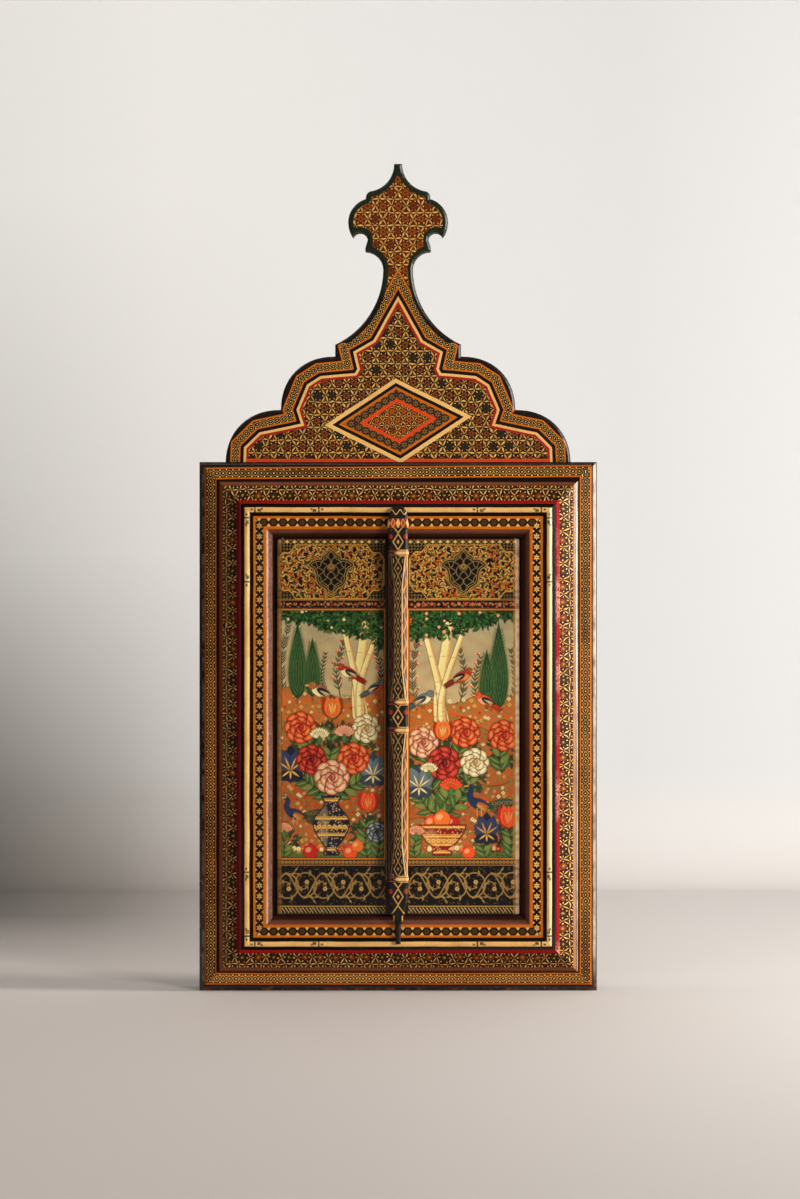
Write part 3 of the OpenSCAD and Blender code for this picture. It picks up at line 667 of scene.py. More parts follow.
class Painting:
    """Paint on a panel: a grid of colours over x and z in millimetres, laid on shape by shape."""

    everywhere = (slice(None), slice(None))

    def __init__(self, left, right, foot, head, step, ground):
        self.x = np.linspace(left, right, int(round((right - left) / step)) + 1)
        self.z = np.linspace(foot, head, int(round((head - foot) / step)) + 1)
        self.step = step
        self.colour = np.tile(np.array(ground[:3], float), (len(self.z), len(self.x), 1))
        self.open = np.ones((len(self.z), len(self.x)))
        self.line, self.line_colour = 0.0, rgb(40, 20, 14)

    def edges(self):
        """Left, right, foot and head of the panel."""
        return self.x[0], self.x[-1], self.z[0], self.z[-1]

    def keep_inside(self, distance):
        """Lets paint go on only where a distance is negative."""
        self.open = np.clip(0.5 - distance / self.step, 0.0, 1.0)

    def window(self, x0, x1, z0, z1):
        """The stretch of the grid that a shape can reach, with its x and z."""
        rim = self.step + self.line
        cols = slice(*np.searchsorted(self.x, (x0 - rim, x1 + rim)))
        rows = slice(*np.searchsorted(self.z, (z0 - rim, z1 + rim)))
        return (rows, cols), self.x[cols][None, :], self.z[rows][:, None]

    def cover(self, where, distance, colour, strength=1.0):
        """Colour goes on where the distance to a shape's edge is negative, softened over a step,
        inside an ink outline if one is set."""
        part = self.colour[where]
        outline = [(self.line, self.line_colour)] if self.line else []
        for grow, paint in outline + [(0.0, colour)]:
            amount = np.clip(0.5 - (distance - grow) / (1.2 * self.step), 0.0, 1.0)
            amount = amount * strength * self.open[where]
            part += amount[..., None] * (np.array(paint[:3]) - part)

    def oval(self, x, z, a, b, turn, colour, strength=1.0):
        """An ellipse of half-lengths a and b, turned about its middle."""
        reach = max(a, b)
        where, px, pz = self.window(x - reach, x + reach, z - reach, z + reach)
        c, s = math.cos(turn), math.sin(turn)
        r = np.hypot(((px - x) * c + (pz - z) * s) / a, ((pz - z) * c - (px - x) * s) / b)
        self.cover(where, (r - 1.0) * min(a, b), colour, strength)

    def dot(self, x, z, r, colour):
        """A round spot."""
        self.oval(x, z, r, r, 0.0, colour)

    def petal(self, x, z, length, width, turn, colour, strength=1.0, belly=1.0):
        """A petal from its root: the half-width is a sine of the way to the tip, to a power."""
        where, px, pz = self.window(x - length, x + length, z - length, z + length)
        c, s = math.cos(turn), math.sin(turn)
        along, across = (px - x) * c + (pz - z) * s, (pz - z) * c - (px - x) * s
        half = width / 2 * np.sin(math.pi * np.clip(along / length, 0.0, 1.0) ** belly)
        distance = np.maximum(np.abs(across) - half, np.maximum(-along, along - length))
        self.cover(where, distance, colour, strength)

    def stroke(self, points, widths, colour, strength=1.0):
        """A brush line: the distance to each straight piece, less the brush's half-width there."""
        line = np.asarray(points, float)
        half = np.broadcast_to(np.asarray(widths, float), (len(line),)) / 2
        if self.line:
            rim, self.line = self.line, 0.0
            self.stroke(line, 2 * (half + rim), self.line_colour, strength)
            self.stroke(line, 2 * half, colour, strength)
            self.line = rim
            return
        for (x0, z0), (x1, z1), r0, r1 in zip(line[:-1], line[1:], half[:-1], half[1:]):
            r, dx, dz = max(r0, r1), x1 - x0, z1 - z0
            where, px, pz = self.window(min(x0, x1) - r, max(x0, x1) + r,
                                        min(z0, z1) - r, max(z0, z1) + r)
            t = np.clip(((px - x0) * dx + (pz - z0) * dz) / (dx * dx + dz * dz + 1e-9), 0.0, 1.0)
            distance = np.hypot(px - x0 - t * dx, pz - z0 - t * dz) - r0 - (r1 - r0) * t
            self.cover(where, distance, colour, strength)

    def apart(self, points):
        """Distance of every point of the grid from a closed outline, negative inside it."""
        a = np.asarray(points, float)
        b = np.roll(a, -1, 0)
        px, pz = np.meshgrid(self.x, self.z)
        best, turns = np.full(px.shape, 1e9), np.zeros(px.shape, int)
        for (ax, az), (bx, bz) in zip(a, b):
            dx, dz = bx - ax, bz - az
            t = np.clip(((px - ax) * dx + (pz - az) * dz) / (dx * dx + dz * dz + 1e-9), 0.0, 1.0)
            best = np.minimum(best, np.hypot(px - ax - t * dx, pz - az - t * dz))
            turns += ((az > pz) != (bz > pz)) & (px < dx * (pz - az) / (dz if dz else 1e-9) + ax)
        return np.where(turns % 2 == 1, -best, best)

    def box(self, x0, x1, z0, z1, colour, strength=1.0):
        """A straight-sided patch."""
        where, px, pz = self.window(x0, x1, z0, z1)
        distance = np.maximum(np.abs(px - (x0 + x1) / 2) - (x1 - x0) / 2,
                              np.abs(pz - (z0 + z1) / 2) - (z1 - z0) / 2)
        self.cover(where, distance, colour, strength)

    def frame(self, x0, x1, z0, z1, width, colour):
        """A line of one width round the inside of a rectangle."""
        for a, b, c, d in ((x0, x1, z0, z0 + width), (x0, x1, z1 - width, z1),
                           (x0, x0 + width, z0, z1), (x1 - width, x1, z0, z1)):
            self.box(a, b, c, d, colour)


def bend(points, pieces=7):
    """A smooth line through points: cubic pieces whose ends share a slope."""
    p = np.asarray(points, float)
    p = np.vstack([2 * p[0] - p[1], p, 2 * p[-1] - p[-2]])
    t = np.linspace(0.0, 1.0, pieces, endpoint=False)[:, None]
    out = [0.5 * (2 * b + (c - a) * t + (2 * a - 5 * b + 4 * c - d) * t ** 2
                  + (3 * b - a - 3 * c + d) * t ** 3)
           for a, b, c, d in zip(p[:-3], p[1:-2], p[2:-1], p[3:])]
    return np.vstack(out + [p[-2:-1]])


def mixed(one, other, share):
    """A colour part of the way from one to another."""
    return tuple(np.array(one[:3]) * (1 - share) + np.array(other[:3]) * share)


UP, ink_line = math.pi / 2, 0.2
ink, cream, bright_gold = rgb(20, 12, 9), rgb(232, 212, 172), rgb(206, 162, 84)
vermilion, scarlet, rust = rgb(214, 72, 34), rgb(168, 30, 30), rgb(170, 92, 44)
pink, navy, slate = rgb(222, 146, 122), rgb(24, 28, 52), rgb(86, 106, 126)
leaf_green, deep_green, moss = rgb(62, 104, 62), rgb(26, 58, 36), rgb(112, 120, 62)
sky, haze, earth = rgb(150, 142, 122), rgb(168, 152, 124), rgb(156, 82, 40)


def rose(art, x, z, r, deep, full, pale, turn=0.0):
    """A full rose: rings of overlapping petals, each a deep oval with a fuller and a pale one in it,
    and a curl of brush line at the heart."""
    for ring, (away, size, count) in enumerate(((0.64, 0.44, 8), (0.36, 0.38, 6), (0.12, 0.28, 4))):
        for k in range(count):
            a = turn + 2 * math.pi * (k + 0.5 * ring) / count
            c, s = math.cos(a), math.sin(a)
            for out, long, wide, tint, strength in ((away, 1.0, 0.84, deep, 1.0),
                                                    (away + 0.05, 0.86, 0.68, full, 1.0),
                                                    (away + size * 0.36, 0.62, 0.26, pale, 0.75)):
                art.oval(x + r * out * c, z + r * out * s, r * size * long, r * size * wide, a + UP,
                         tint, strength)
    curl = np.linspace(0.0, 7.5, 22)
    reach = r * 0.028 * curl
    art.stroke(np.stack([x + reach * np.cos(curl), z + reach * np.sin(curl)], -1), 0.34, deep)


def blossom(art, x, z, r, petal, heart, count=5, turn=0.0):
    """A small open flower: round petals about a dotted heart."""
    for k in range(count):
        art.petal(x, z, r, r * 0.82, turn + 2 * math.pi * k / count, petal, belly=1.5)
    art.dot(x, z, r * 0.26, heart)


def tulip(art, x, z, h, deep, full, pale):
    """A tulip: two bowed outer petals, a middle one over them, pale streaks and a thin edge."""
    for lean, tint in ((0.42, deep), (-0.42, deep), (0.22, full), (-0.22, full)):
        art.petal(x, z, h, h * 0.52, UP + lean, tint, belly=0.85)
    art.petal(x, z, h * 0.94, h * 0.40, UP, full, belly=0.85)
    for lean in (-0.3, 0.0, 0.3):
        art.petal(x, z + h * 0.15, h * 0.6, h * 0.10, UP + lean, pale, 0.8)


def iris(art, x, z, h, deep, full, line):
    """An iris: three standards that rise, three falls that hang, each with a fine line."""
    for lean, reach, tint in ((0.95, 0.7, full), (-0.95, 0.7, full), (0.0, 1.0, deep),
                              (0.4, 0.9, full), (-0.4, 0.9, full)):
        art.petal(x, z, h * reach, h * 0.42, UP + lean, tint, belly=1.3)
    for lean, reach in ((2.2, 0.62), (-2.2, 0.62), (math.pi, 0.5)):
        art.petal(x, z, h * reach, h * 0.42, UP + lean, deep, belly=1.4)
        art.petal(x, z, h * reach * 0.7, h * 0.07, UP + lean, line)
    for lean in (0.4, -0.4, 0.95, -0.95):
        art.petal(x, z, h * 0.6, h * 0.06, UP + lean, line, 0.8)


def carnation(art, x, z, r, deep, full, pale, turn=UP):
    """A carnation: a fan of narrow toothed petals from a green cup."""
    for reach, tint in ((1.0, deep), (0.92, full), (0.62, pale), (0.54, full)):
        for lean in np.linspace(-1.05, 1.05, 9):
            art.petal(x, z, r * reach, r * 0.30, turn + lean, tint, belly=2.0)
    art.petal(x - 0.55 * r * math.cos(turn), z - 0.55 * r * math.sin(turn), r * 0.75, r * 0.34,
              turn, leaf_green)


def heading(line, k):
    """Which way a line of points runs at its point k."""
    return math.atan2(*(line[k + 1] - line[k])[::-1])


def spray(art, points, leaves, size, stem, leaf, edge, width=0.7):
    """A bowed stem with pairs of pointed leaves, each with a lighter rib."""
    line = bend(points)
    art.stroke(line, np.linspace(width, width * 0.5, len(line)), stem)
    for n, at in enumerate(np.linspace(0.12, 0.95, leaves)):
        k = min(int(at * (len(line) - 1)), len(line) - 2)
        way = heading(line, k)
        for side in (1, -1):
            a = way + side * (0.75 + 0.15 * (n % 2))
            grow = size * (1.0 - 0.35 * at)
            tint = leaf if (n + side) % 3 else mixed(leaf, edge, 0.35)
            art.petal(*line[k], grow, grow * 0.42, a, tint, belly=0.8)
            art.petal(*line[k], grow * 0.9, grow * 0.07, a, edge, 0.8)


def feather(art, points, count, size, tint, buds=None):
    """A thin twig with many short narrow leaves on both sides, and a pair of dots at some tips."""
    line = bend(points, 12)
    art.stroke(line, np.linspace(0.55, 0.25, len(line)), tint)
    for n, at in enumerate(np.linspace(0.15, 0.99, count)):
        k = min(int(at * (len(line) - 1)), len(line) - 2)
        way = heading(line, k)
        for side in (1, -1):
            a, grow = way + side * 0.62, size * (1.0 - 0.45 * at)
            art.petal(*line[k], grow, 0.62, a, tint, belly=0.8)
            if buds and (n + side) % 3 == 0:
                tip = line[k] + grow * np.array([math.cos(a), math.sin(a)])
                art.oval(*tip, 0.75, 0.65, 0.0, buds[n % len(buds)])
                art.oval(*(tip + 0.45), 0.35, 0.35, 0.0, cream)


def vessel(art, x, z, half, body, trim, chance):
    """A turned pot from its half-outline: ink edge, shaded body, gold bands and scattered sprigs."""
    side = bend(half, 5)
    outline = np.vstack([side + (x, z), (side * (-1, 1))[::-1] + (x, z)])
    away = art.apart(outline)
    art.cover(art.everywhere, away - 0.35, ink)
    art.cover(art.everywhere, away, body)
    px, pz = np.meshgrid(art.x, art.z)
    art.keep_inside(away + 0.3)
    wide, tall = np.max(half, 0)
    light = np.hypot((px - x + wide * 0.45) / (wide * 0.30), (pz - z - tall * 0.5) / (tall * 0.36))
    art.cover(art.everywhere, light - 1.0, mixed(body, cream, 0.35), 0.45)
    art.cover(art.everywhere, wide * 0.55 - (px - x), mixed(body, ink, 0.6), 0.5)
    for share in (0.09, 0.34, 0.62, 0.93):
        level = z + tall * share
        art.box(x - wide, x + wide, level - 0.45, level + 0.45, trim)
        art.box(x - wide, x + wide, level + 0.8, level + 1.05, trim)
    for cx in np.arange(x - wide, x + wide, 2.6):
        blossom(art, cx, z + tall * 0.48, 1.15, trim, body, 6, cx)
        art.petal(cx + 1.3, z + tall * 0.40, 2.6, 0.8, UP, mixed(trim, body, 0.35))
    for _ in range(int(wide * tall * 0.9)):
        art.dot(x + (2 * chance.random() - 1) * wide, z + chance.random() * tall, 0.2,
                mixed(trim, cream, 0.4))
    art.open[:] = 1.0


def fruit(art, x, z, r, skin):
    """A round fruit with a paler cheek, a small crown and an ink edge."""
    art.oval(x, z, r * 1.06, r * 1.04, 0.0, ink)
    art.oval(x, z, r, r * 0.98, 0.0, skin)
    art.oval(x - 0.3 * r, z + 0.25 * r, r * 0.42, r * 0.34, 0.5, mixed(skin, cream, 0.5), 0.7)
    for lean in (-0.5, 0.0, 0.5):
        art.petal(x, z + 0.85 * r, r * 0.42, r * 0.2, UP + lean, mixed(skin, ink, 0.3))


def bird(art, x, z, size, face, back, wing, breast):
    """A small perching bird that looks to one side: tail, body, breast, folded wing, head and bill.
    Every measure is a share of its size."""
    lift, ahead = 0.55, 0.0 if face > 0 else math.pi
    way = UP - face * (UP - lift)
    c, s = size * math.cos(way), size * math.sin(way)
    for lean in (-0.10, 0.10, 0.0):
        art.petal(x - 0.1 * c, z - 0.1 * s, size * 0.95, size * 0.17, way + math.pi + lean,
                  mixed(back, ink, 0.45))
    art.oval(x, z, size * 0.46, size * 0.25, way, back)
    art.oval(x + 0.13 * c + 0.05 * face * size, z + 0.13 * s - 0.09 * size, size * 0.33, size * 0.17,
             way, breast)
    art.petal(x + 0.26 * c, z + 0.26 * s, size * 0.78, size * 0.30, way + math.pi - face * 0.10, wing,
              belly=0.75)
    for lean in (-0.06, 0.06, 0.18):
        art.petal(x + 0.1 * c, z + 0.1 * s, size * 0.55, size * 0.045, way + math.pi - face * lean,
                  cream, 0.8)
    hx, hz = x + 0.50 * c, z + 0.50 * s + 0.04 * size
    art.oval(hx, hz, size * 0.19, size * 0.17, 0.0, back)
    art.petal(hx + face * size * 0.12, hz, size * 0.26, size * 0.09, ahead, bright_gold)
    art.dot(hx + face * size * 0.06, hz + size * 0.03, size * 0.045, cream)
    art.dot(hx + face * size * 0.065, hz + size * 0.03, size * 0.022, ink)
    for leg in (0.0, 0.12):
        lx = x + leg * size
        art.stroke([(lx, z - size * 0.20), (lx, z - size * 0.42)], 0.28, rust)


def peafowl(art, x, z, size, face, body, train, eye):
    """A peafowl in profile: a long folded train of feathers with eyes, a bowed neck and a crown."""
    ahead, behind = (0.0, math.pi) if face > 0 else (math.pi, 0.0)
    plumes = ((1.75, 0.42), (1.9, 0.30), (1.95, 0.18), (1.85, 0.06), (1.7, -0.06))
    for k, (reach, lean) in enumerate(plumes):
        a = behind + face * lean
        shade = mixed(train, ink, 0.2 + 0.08 * (k % 2))
        art.petal(x, z, size * reach, size * 0.36, a, shade, belly=1.5)
        for share in np.linspace(0.35, 0.9, 5):
            ex, ez = x + size * reach * share * math.cos(a), z + size * reach * share * math.sin(a)
            for long, wide, tint in ((0.10, 0.075, bright_gold), (0.066, 0.05, eye),
                                     (0.03, 0.025, navy)):
                art.oval(ex, ez, size * long, size * wide, a, tint)
    art.oval(x + face * size * 0.12, z, size * 0.42, size * 0.26, face * 0.35, body)
    for lean in (0.0, 0.16, 0.32):
        art.petal(x + face * size * 0.38, z + size * 0.12, size * 0.8, size * 0.17,
                  behind + face * (0.35 + lean), mixed(rust, bright_gold, lean))
    neck = bend([(x + face * size * out, z + size * up)
                 for out, up in ((0.38, 0.05), (0.58, 0.40), (0.50, 0.70), (0.62, 0.86))])
    art.stroke(neck, np.linspace(size * 0.32, size * 0.13, len(neck)), body)
    hx, hz = neck[-1]
    art.oval(hx, hz, size * 0.11, size * 0.09, 0.0, body)
    art.petal(hx + face * size * 0.06, hz, size * 0.18, size * 0.06, ahead, bright_gold)
    art.dot(hx + face * size * 0.03, hz + size * 0.02, size * 0.03, cream)
    for lean in (-0.4, 0.0, 0.4):
        tip = (hx + size * 0.22 * math.sin(lean), hz + size * 0.08 + size * 0.20 * math.cos(lean))
        art.stroke([(hx, hz + size * 0.06), tip], 0.22, bright_gold)
        art.dot(*tip, size * 0.03, eye)
    for leg in (0.02, 0.22):
        lx = x + face * leg * size
        art.stroke([(lx, z - size * 0.2), (lx, z - size * 0.56)], 0.4, bright_gold)


def cypress(art, x, z, height, width, chance):
    """A cypress: a tall drop shape filled from the top down with small upright strokes."""
    art.stroke([(x, z - 2.0), (x, z + 3.0)], 1.3, rgb(120, 78, 44))
    art.petal(x, z, height, width, UP, deep_green, belly=0.62)
    for share in np.linspace(0.9, 0.06, 26):
        half = width / 2 * math.sin(math.pi * share ** 0.62) * 0.88
        for across in np.linspace(-1.0, 1.0, max(2, int(half * 2.2))):
            tint = mixed(rgb(44, 82, 48), rgb(80, 98, 54), chance.random() * 0.7)
            art.petal(x + across * half, z + height * share - 1.0, 2.6, 0.62, UP - across * 0.5,
                      tint, 0.9)


def toss(chance, x, z, rx, rz, spread=1.0):
    """A chance point in an oval: the way to it from the middle, how far out, and its place."""
    a, r = chance.random() * 2 * math.pi, math.sqrt(chance.random()) * spread
    return a, r, x + rx * r * math.cos(a), z + rz * r * math.sin(a)


def tree_of(art, root, forks, crowns, bark, greens, flower, chance):
    """A garden tree: a pale trunk that forks, and round crowns of pointed leaves with blossom."""
    for cx, cz, rx, rz in crowns:
        art.oval(cx, cz, rx, rz, 0.0, mixed(deep_green, ink, 0.25))
    for points, thick in forks:
        line = bend([root] + points)
        widths = np.linspace(thick, thick * 0.5, len(line))
        art.stroke(line, widths + 0.6, rgb(84, 52, 30))
        art.stroke(line, widths, bark)
        art.stroke(line + (thick * 0.27, 0.0), widths * 0.34, mixed(bark, rgb(150, 108, 66), 0.7), 0.8)
        art.stroke(line - (thick * 0.2, 0.0), widths * 0.2, mixed(bark, cream, 0.6), 0.8)
        for k in range(2, len(line) - 2, 3):
            cut = widths[k] * (0.2 + 0.5 * chance.random())
            art.stroke([line[k] - (cut, 0.2), line[k] + (cut * 0.2, -0.3)], 0.24, rgb(112, 74, 44), 0.9)
    for cx, cz, rx, rz in crowns:
        for _ in range(int(rx * rz * 3.4)):
            a, r, lx, lz = toss(chance, cx, cz, rx, rz, 1.04)
            tint = greens[int(chance.random() * len(greens))]
            way = a + (chance.random() - 0.5) * 1.8
            art.petal(lx, lz, 2.5, 1.3, way, rgb(12, 20, 14), 0.8, belly=0.8)
            art.petal(lx, lz, 2.2, 0.85, way, tint, belly=0.8)
        for _ in range(int(rx * rz * 0.08)):
            a, r, lx, lz = toss(chance, cx, cz, rx, rz, 0.95)
            blossom(art, lx, lz, 0.6 + 0.3 * chance.random(),
                    flower if chance.random() < 0.6 else scarlet, bright_gold)


def thicket(art, x, z, rx, rz, chance):
    """A dark bush behind the flowers: a near-black mass edged and filled with narrow leaves."""
    for _ in range(int(rx * rz * 1.5)):
        a, r, lx, lz = toss(chance, x, z, rx, rz)
        way = a + (chance.random() - 0.5) * 1.4
        tint = mixed(rgb(14, 24, 26), rgb(36, 62, 40), chance.random() * (0.25 + 0.75 * r))
        art.petal(lx, lz, 3.8, 1.5, way, tint, belly=0.8)
        art.petal(lx, lz, 3.2, 0.22, way, rgb(96, 108, 62), 0.35 + 0.3 * r)


def sprigs(art, x0, x1, z0, z1, pitch, chance):
    """Tufts over the ground: a few blades, with a small flower on most."""
    tints = (cream, vermilion, pink, bright_gold, scarlet, cream)
    for cz in np.arange(z0, z1, pitch * 0.82):
        for cx in np.arange(x0, x1, pitch):
            px = cx + (chance.random() - 0.5) * pitch * 0.9
            pz = cz + (chance.random() - 0.5) * pitch * 0.7
            for lean in (-0.6, 0.0, 0.6):
                art.petal(px, pz, 1.5 + chance.random(), 0.42,
                          UP + lean + (chance.random() - 0.5) * 0.4,
                          leaf_green if lean else moss, 0.9)
            tint = tints[int(chance.random() * len(tints))]
            if chance.random() < 0.72:
                blossom(art, px + 0.5, pz + 1.9, 0.62 + 0.4 * chance.random(), tint, ink, 4)


def garden(art, plan, chance):
    """Sky, hills and turf first, then trees, bushes, pots, the tall flowers and the birds."""
    left, right, foot, head = art.edges()
    px, pz = np.meshgrid(art.x, art.z)
    ripple = np.sin(px * 0.35 + 2.0 * np.sin(pz * 0.21)) * np.sin(pz * 0.5 + np.sin(px * 0.17))
    air = np.clip((pz - plan["hill"]) / 40.0, 0, 1)[..., None]
    art.colour[:] = np.array(haze[:3]) * (1 - air) + np.array(sky[:3]) * air
    for points, count, size, buds in plan["feathers"]:
        feather(art, points, count, size, rgb(26, 36, 24), buds)
    hills = ((0.0, 3.2, 0.4, rust), (-17.0, 3.6, 2.0, earth), (-40.0, 4.0, 3.6, rgb(150, 74, 36)),
             (-63.0, 3.0, 5.0, rgb(158, 84, 44)))
    for crest, swell, phase, tint in hills:
        edge = pz - plan["hill"] - crest - swell * np.sin((px - left) * 0.13 + phase + plan["phase"])
        art.cover(art.everywhere, edge, tint)
        art.cover(art.everywhere, np.abs(edge) - 0.3, mixed(tint, ink, 0.55), 0.8)
        art.cover(art.everywhere, np.abs(edge + 1.3) - 0.8, rgb(104, 108, 66), 0.45)
    art.colour[:] *= (0.97 + 0.09 * ripple)[..., None]
    sprigs(art, left + 1.5, right, foot + 2.0, plan["hill"] - 3.0, 3.3, chance)
    for grow, kind in ((cypress, "cypress"), (tree_of, "trees"), (thicket, "thickets")):
        for spec in plan[kind]:
            grow(art, *spec, chance)
    for cx in np.arange(left + 1.5, right, 2.3):
        spray(art, [(cx, foot + 0.8), (cx + 0.3, foot + 3.5 + 2.0 * chance.random())], 3, 2.6,
              deep_green, rgb(58, 84, 44), moss, 0.4)
        blossom(art, cx + 0.3, foot + 5.0 + chance.random(), 1.0 + 0.4 * chance.random(),
                (cream, vermilion, pink, cream, scarlet)[int(5 * chance.random())], bright_gold)
    art.line = ink_line
    for points, leaves, size in plan["sprays"]:
        spray(art, points, leaves, size, deep_green, rgb(54, 92, 50), rgb(150, 156, 88))
    for kind, *spec in plan["birds"]:
        kind(art, *spec)
    art.line = 0.0
    for spec in plan["fruit"]:
        fruit(art, *spec)
    for spec in plan["vessels"]:
        vessel(art, *spec, chance)
    art.line = ink_line
    for kind, *spec in plan["flowers"]:
        kind(art, *spec)
    art.line = 0.0
    art.frame(left, right, foot, head, 0.75, rgb(178, 108, 36))
    art.frame(left + 0.75, right - 0.75, foot + 0.75, head - 0.75, 0.3, ink)


def arabesque(art, x0, x1, z0, z1, pitch, leaf, accent, chance):
    """Rows of spiral stems, turned left and right in turn, thick with curved leaves."""
    n = 0
    for row, cz in enumerate(np.arange(z0 + pitch * 0.42, z1 + pitch * 0.4, pitch * 0.84)):
        for cx in np.arange(x0 + pitch * (0.5 if row % 2 else 0.05), x1 + pitch * 0.6, pitch):
            n += 1
            hand = 1 if n % 2 else -1
            t = np.linspace(0.0, 1.0, 18)
            a, r = hand * (t * 7.0) + n * 1.3 + chance.random(), pitch * (0.58 - 0.44 * t)
            line = np.stack([cx + r * np.cos(a), cz + r * np.sin(a)], -1)
            art.stroke(line, 0.42, leaf)
            for k in range(0, 16, 3):
                way = heading(line, k)
                grow = pitch * (0.44 - 0.012 * k)
                tint = (mixed(leaf, accent, 0.75) if chance.random() < 0.18
                        else mixed(leaf, cream, 0.22 * chance.random()))
                for lean in (-0.9, 0.7):
                    art.petal(*line[k], grow * 1.2, grow * 0.72, way + hand * lean, ink, belly=0.8)
                    art.petal(*line[k], grow, grow * 0.38, way + hand * lean, tint, belly=0.8)
            art.oval(cx, cz, pitch * 0.12, pitch * 0.12, 0.0, accent if n % 3 else rgb(70, 90, 70))


def leaf_head_panel(art, chance):
    """Pearl border, arabesque cartouche with cut corners, a lattice medallion and a flower strip."""
    left, right, foot, head = art.edges()
    mid, px, pz = (left + right) / 2, art.x[None, :], art.z[:, None]
    dull, line_gold = rgb(164, 134, 78), rgb(198, 150, 70)
    strip, top = foot + 4.2, head - 2.6
    low, high = strip + 0.9, top - 0.2
    half_x, half_z, cz = (right - left) / 2 - 0.9, (high - low) / 2, (low + high) / 2
    for cx in np.arange(left + 0.4, right, 1.55):
        for row in np.arange(low, high, 1.55):
            art.stroke([(cx - 0.5, row), (cx + 0.3, row + 0.5), (cx + 0.2, row - 0.4)], 0.26,
                       mixed(dull, ink, 0.35 * chance.random()))
    dx, dz = np.abs(px - mid), np.abs(pz - cz)
    cut = (dx * 0.56 + dz * 0.83) - (half_x * 0.56 + half_z * 0.83 - 5.6)
    shape = np.maximum(np.maximum(dx - half_x, dz - half_z), cut + 0.8 * np.cos(dx * 0.9))
    art.cover(art.everywhere, shape - 0.9, ink)
    art.keep_inside(shape + 0.4)
    art.cover(art.everywhere, shape, ink)
    arabesque(art, left, right, low, high, 5.9, rgb(206, 154, 68), rgb(190, 76, 40), chance)
    art.open[:] = 1.0
    art.cover(art.everywhere, np.abs(shape) - 0.34, line_gold)
    half = [(0.0, 11.4), (2.0, 8.8), (4.3, 7.2), (4.6, 5.8), (7.6, 5.6), (10.8, 3.4), (8.3, 1.4),
            (7.3, -1.4), (7.0, -4.4), (5.6, -6.6), (3.0, -8.0), (1.6, -10.0), (0.0, -12.0)]
    whole = half + [(-a, b) for a, b in half[-2:0:-1]]
    medal = art.apart(bend([(mid + a, cz + b) for a, b in whole], 4))
    art.cover(art.everywhere, medal - 1.0, ink)
    art.cover(art.everywhere, np.abs(medal - 0.55) - 0.24, rgb(172, 138, 76))
    art.cover(art.everywhere, np.abs(medal + 0.55) - 0.14, dull)
    for end, reach in ((1, half_z + 0.5), (-1, half_z)):
        for side in (1, -1):
            tie = [(mid - side * 1.6, cz + end * 10.2), (mid + side * 3.4, cz + end * reach)]
            art.stroke(tie, 0.9, ink)
            art.stroke(tie, 0.36, line_gold)
    art.keep_inside(medal + 0.8)
    t = np.linspace(-12.0, 12.0, 30)
    for k in range(-5, 6):
        wave = 0.9 * np.sin(t * 1.05 + 0.8 * k)
        for lean in (1, -1):
            lattice = [mid + (t + k * 3.4 + wave) * 0.62, cz + lean * (t - k * 3.4) * 0.72]
            art.stroke(np.stack(lattice, -1), 0.28, rgb(140, 122, 82))
    blossom(art, mid, cz + 2.6, 1.7, rgb(150, 112, 60), ink, 6, 0.5)
    art.open[:] = 1.0
    art.box(left, right, top - 0.1, head, ink)
    for cx in np.arange(left + 1.4, right, 3.75):
        for one, other in ((top, head - 0.3), (head - 0.3, top)):
            art.stroke([(cx - 1.9, one), (cx, other), (cx + 1.9, one)], 0.28, dull)
        art.oval(cx, top + 1.2, 0.66, 0.55, 0.0, rgb(234, 210, 156))
    art.box(left, right, strip, strip + 0.5, rgb(170, 128, 60))
    art.box(left, right, foot, strip, ink)
    art.box(left, right, foot, foot + 0.5, rgb(150, 104, 46))
    reds = (rgb(186, 70, 56), rgb(204, 104, 84), rgb(164, 50, 42))
    grains = (rgb(150, 140, 100), rgb(184, 156, 104), rgb(150, 70, 56))
    for n, cx in enumerate(np.arange(left + 2.0, right, 3.4)):
        row = foot + 2.35 + 0.5 * (chance.random() - 0.5)
        blossom(art, cx, row, 0.8 + 0.5 * chance.random(), reds[n % 3], rgb(206, 160, 96), 5, n)
        for _ in range(5):
            art.oval(cx + 0.9 + 1.6 * chance.random(), foot + 0.9 + 2.9 * chance.random(),
                     0.26, 0.34, n, grains[int(3 * chance.random())])
    art.frame(left, right, foot, head, 0.4, rgb(104, 60, 24))


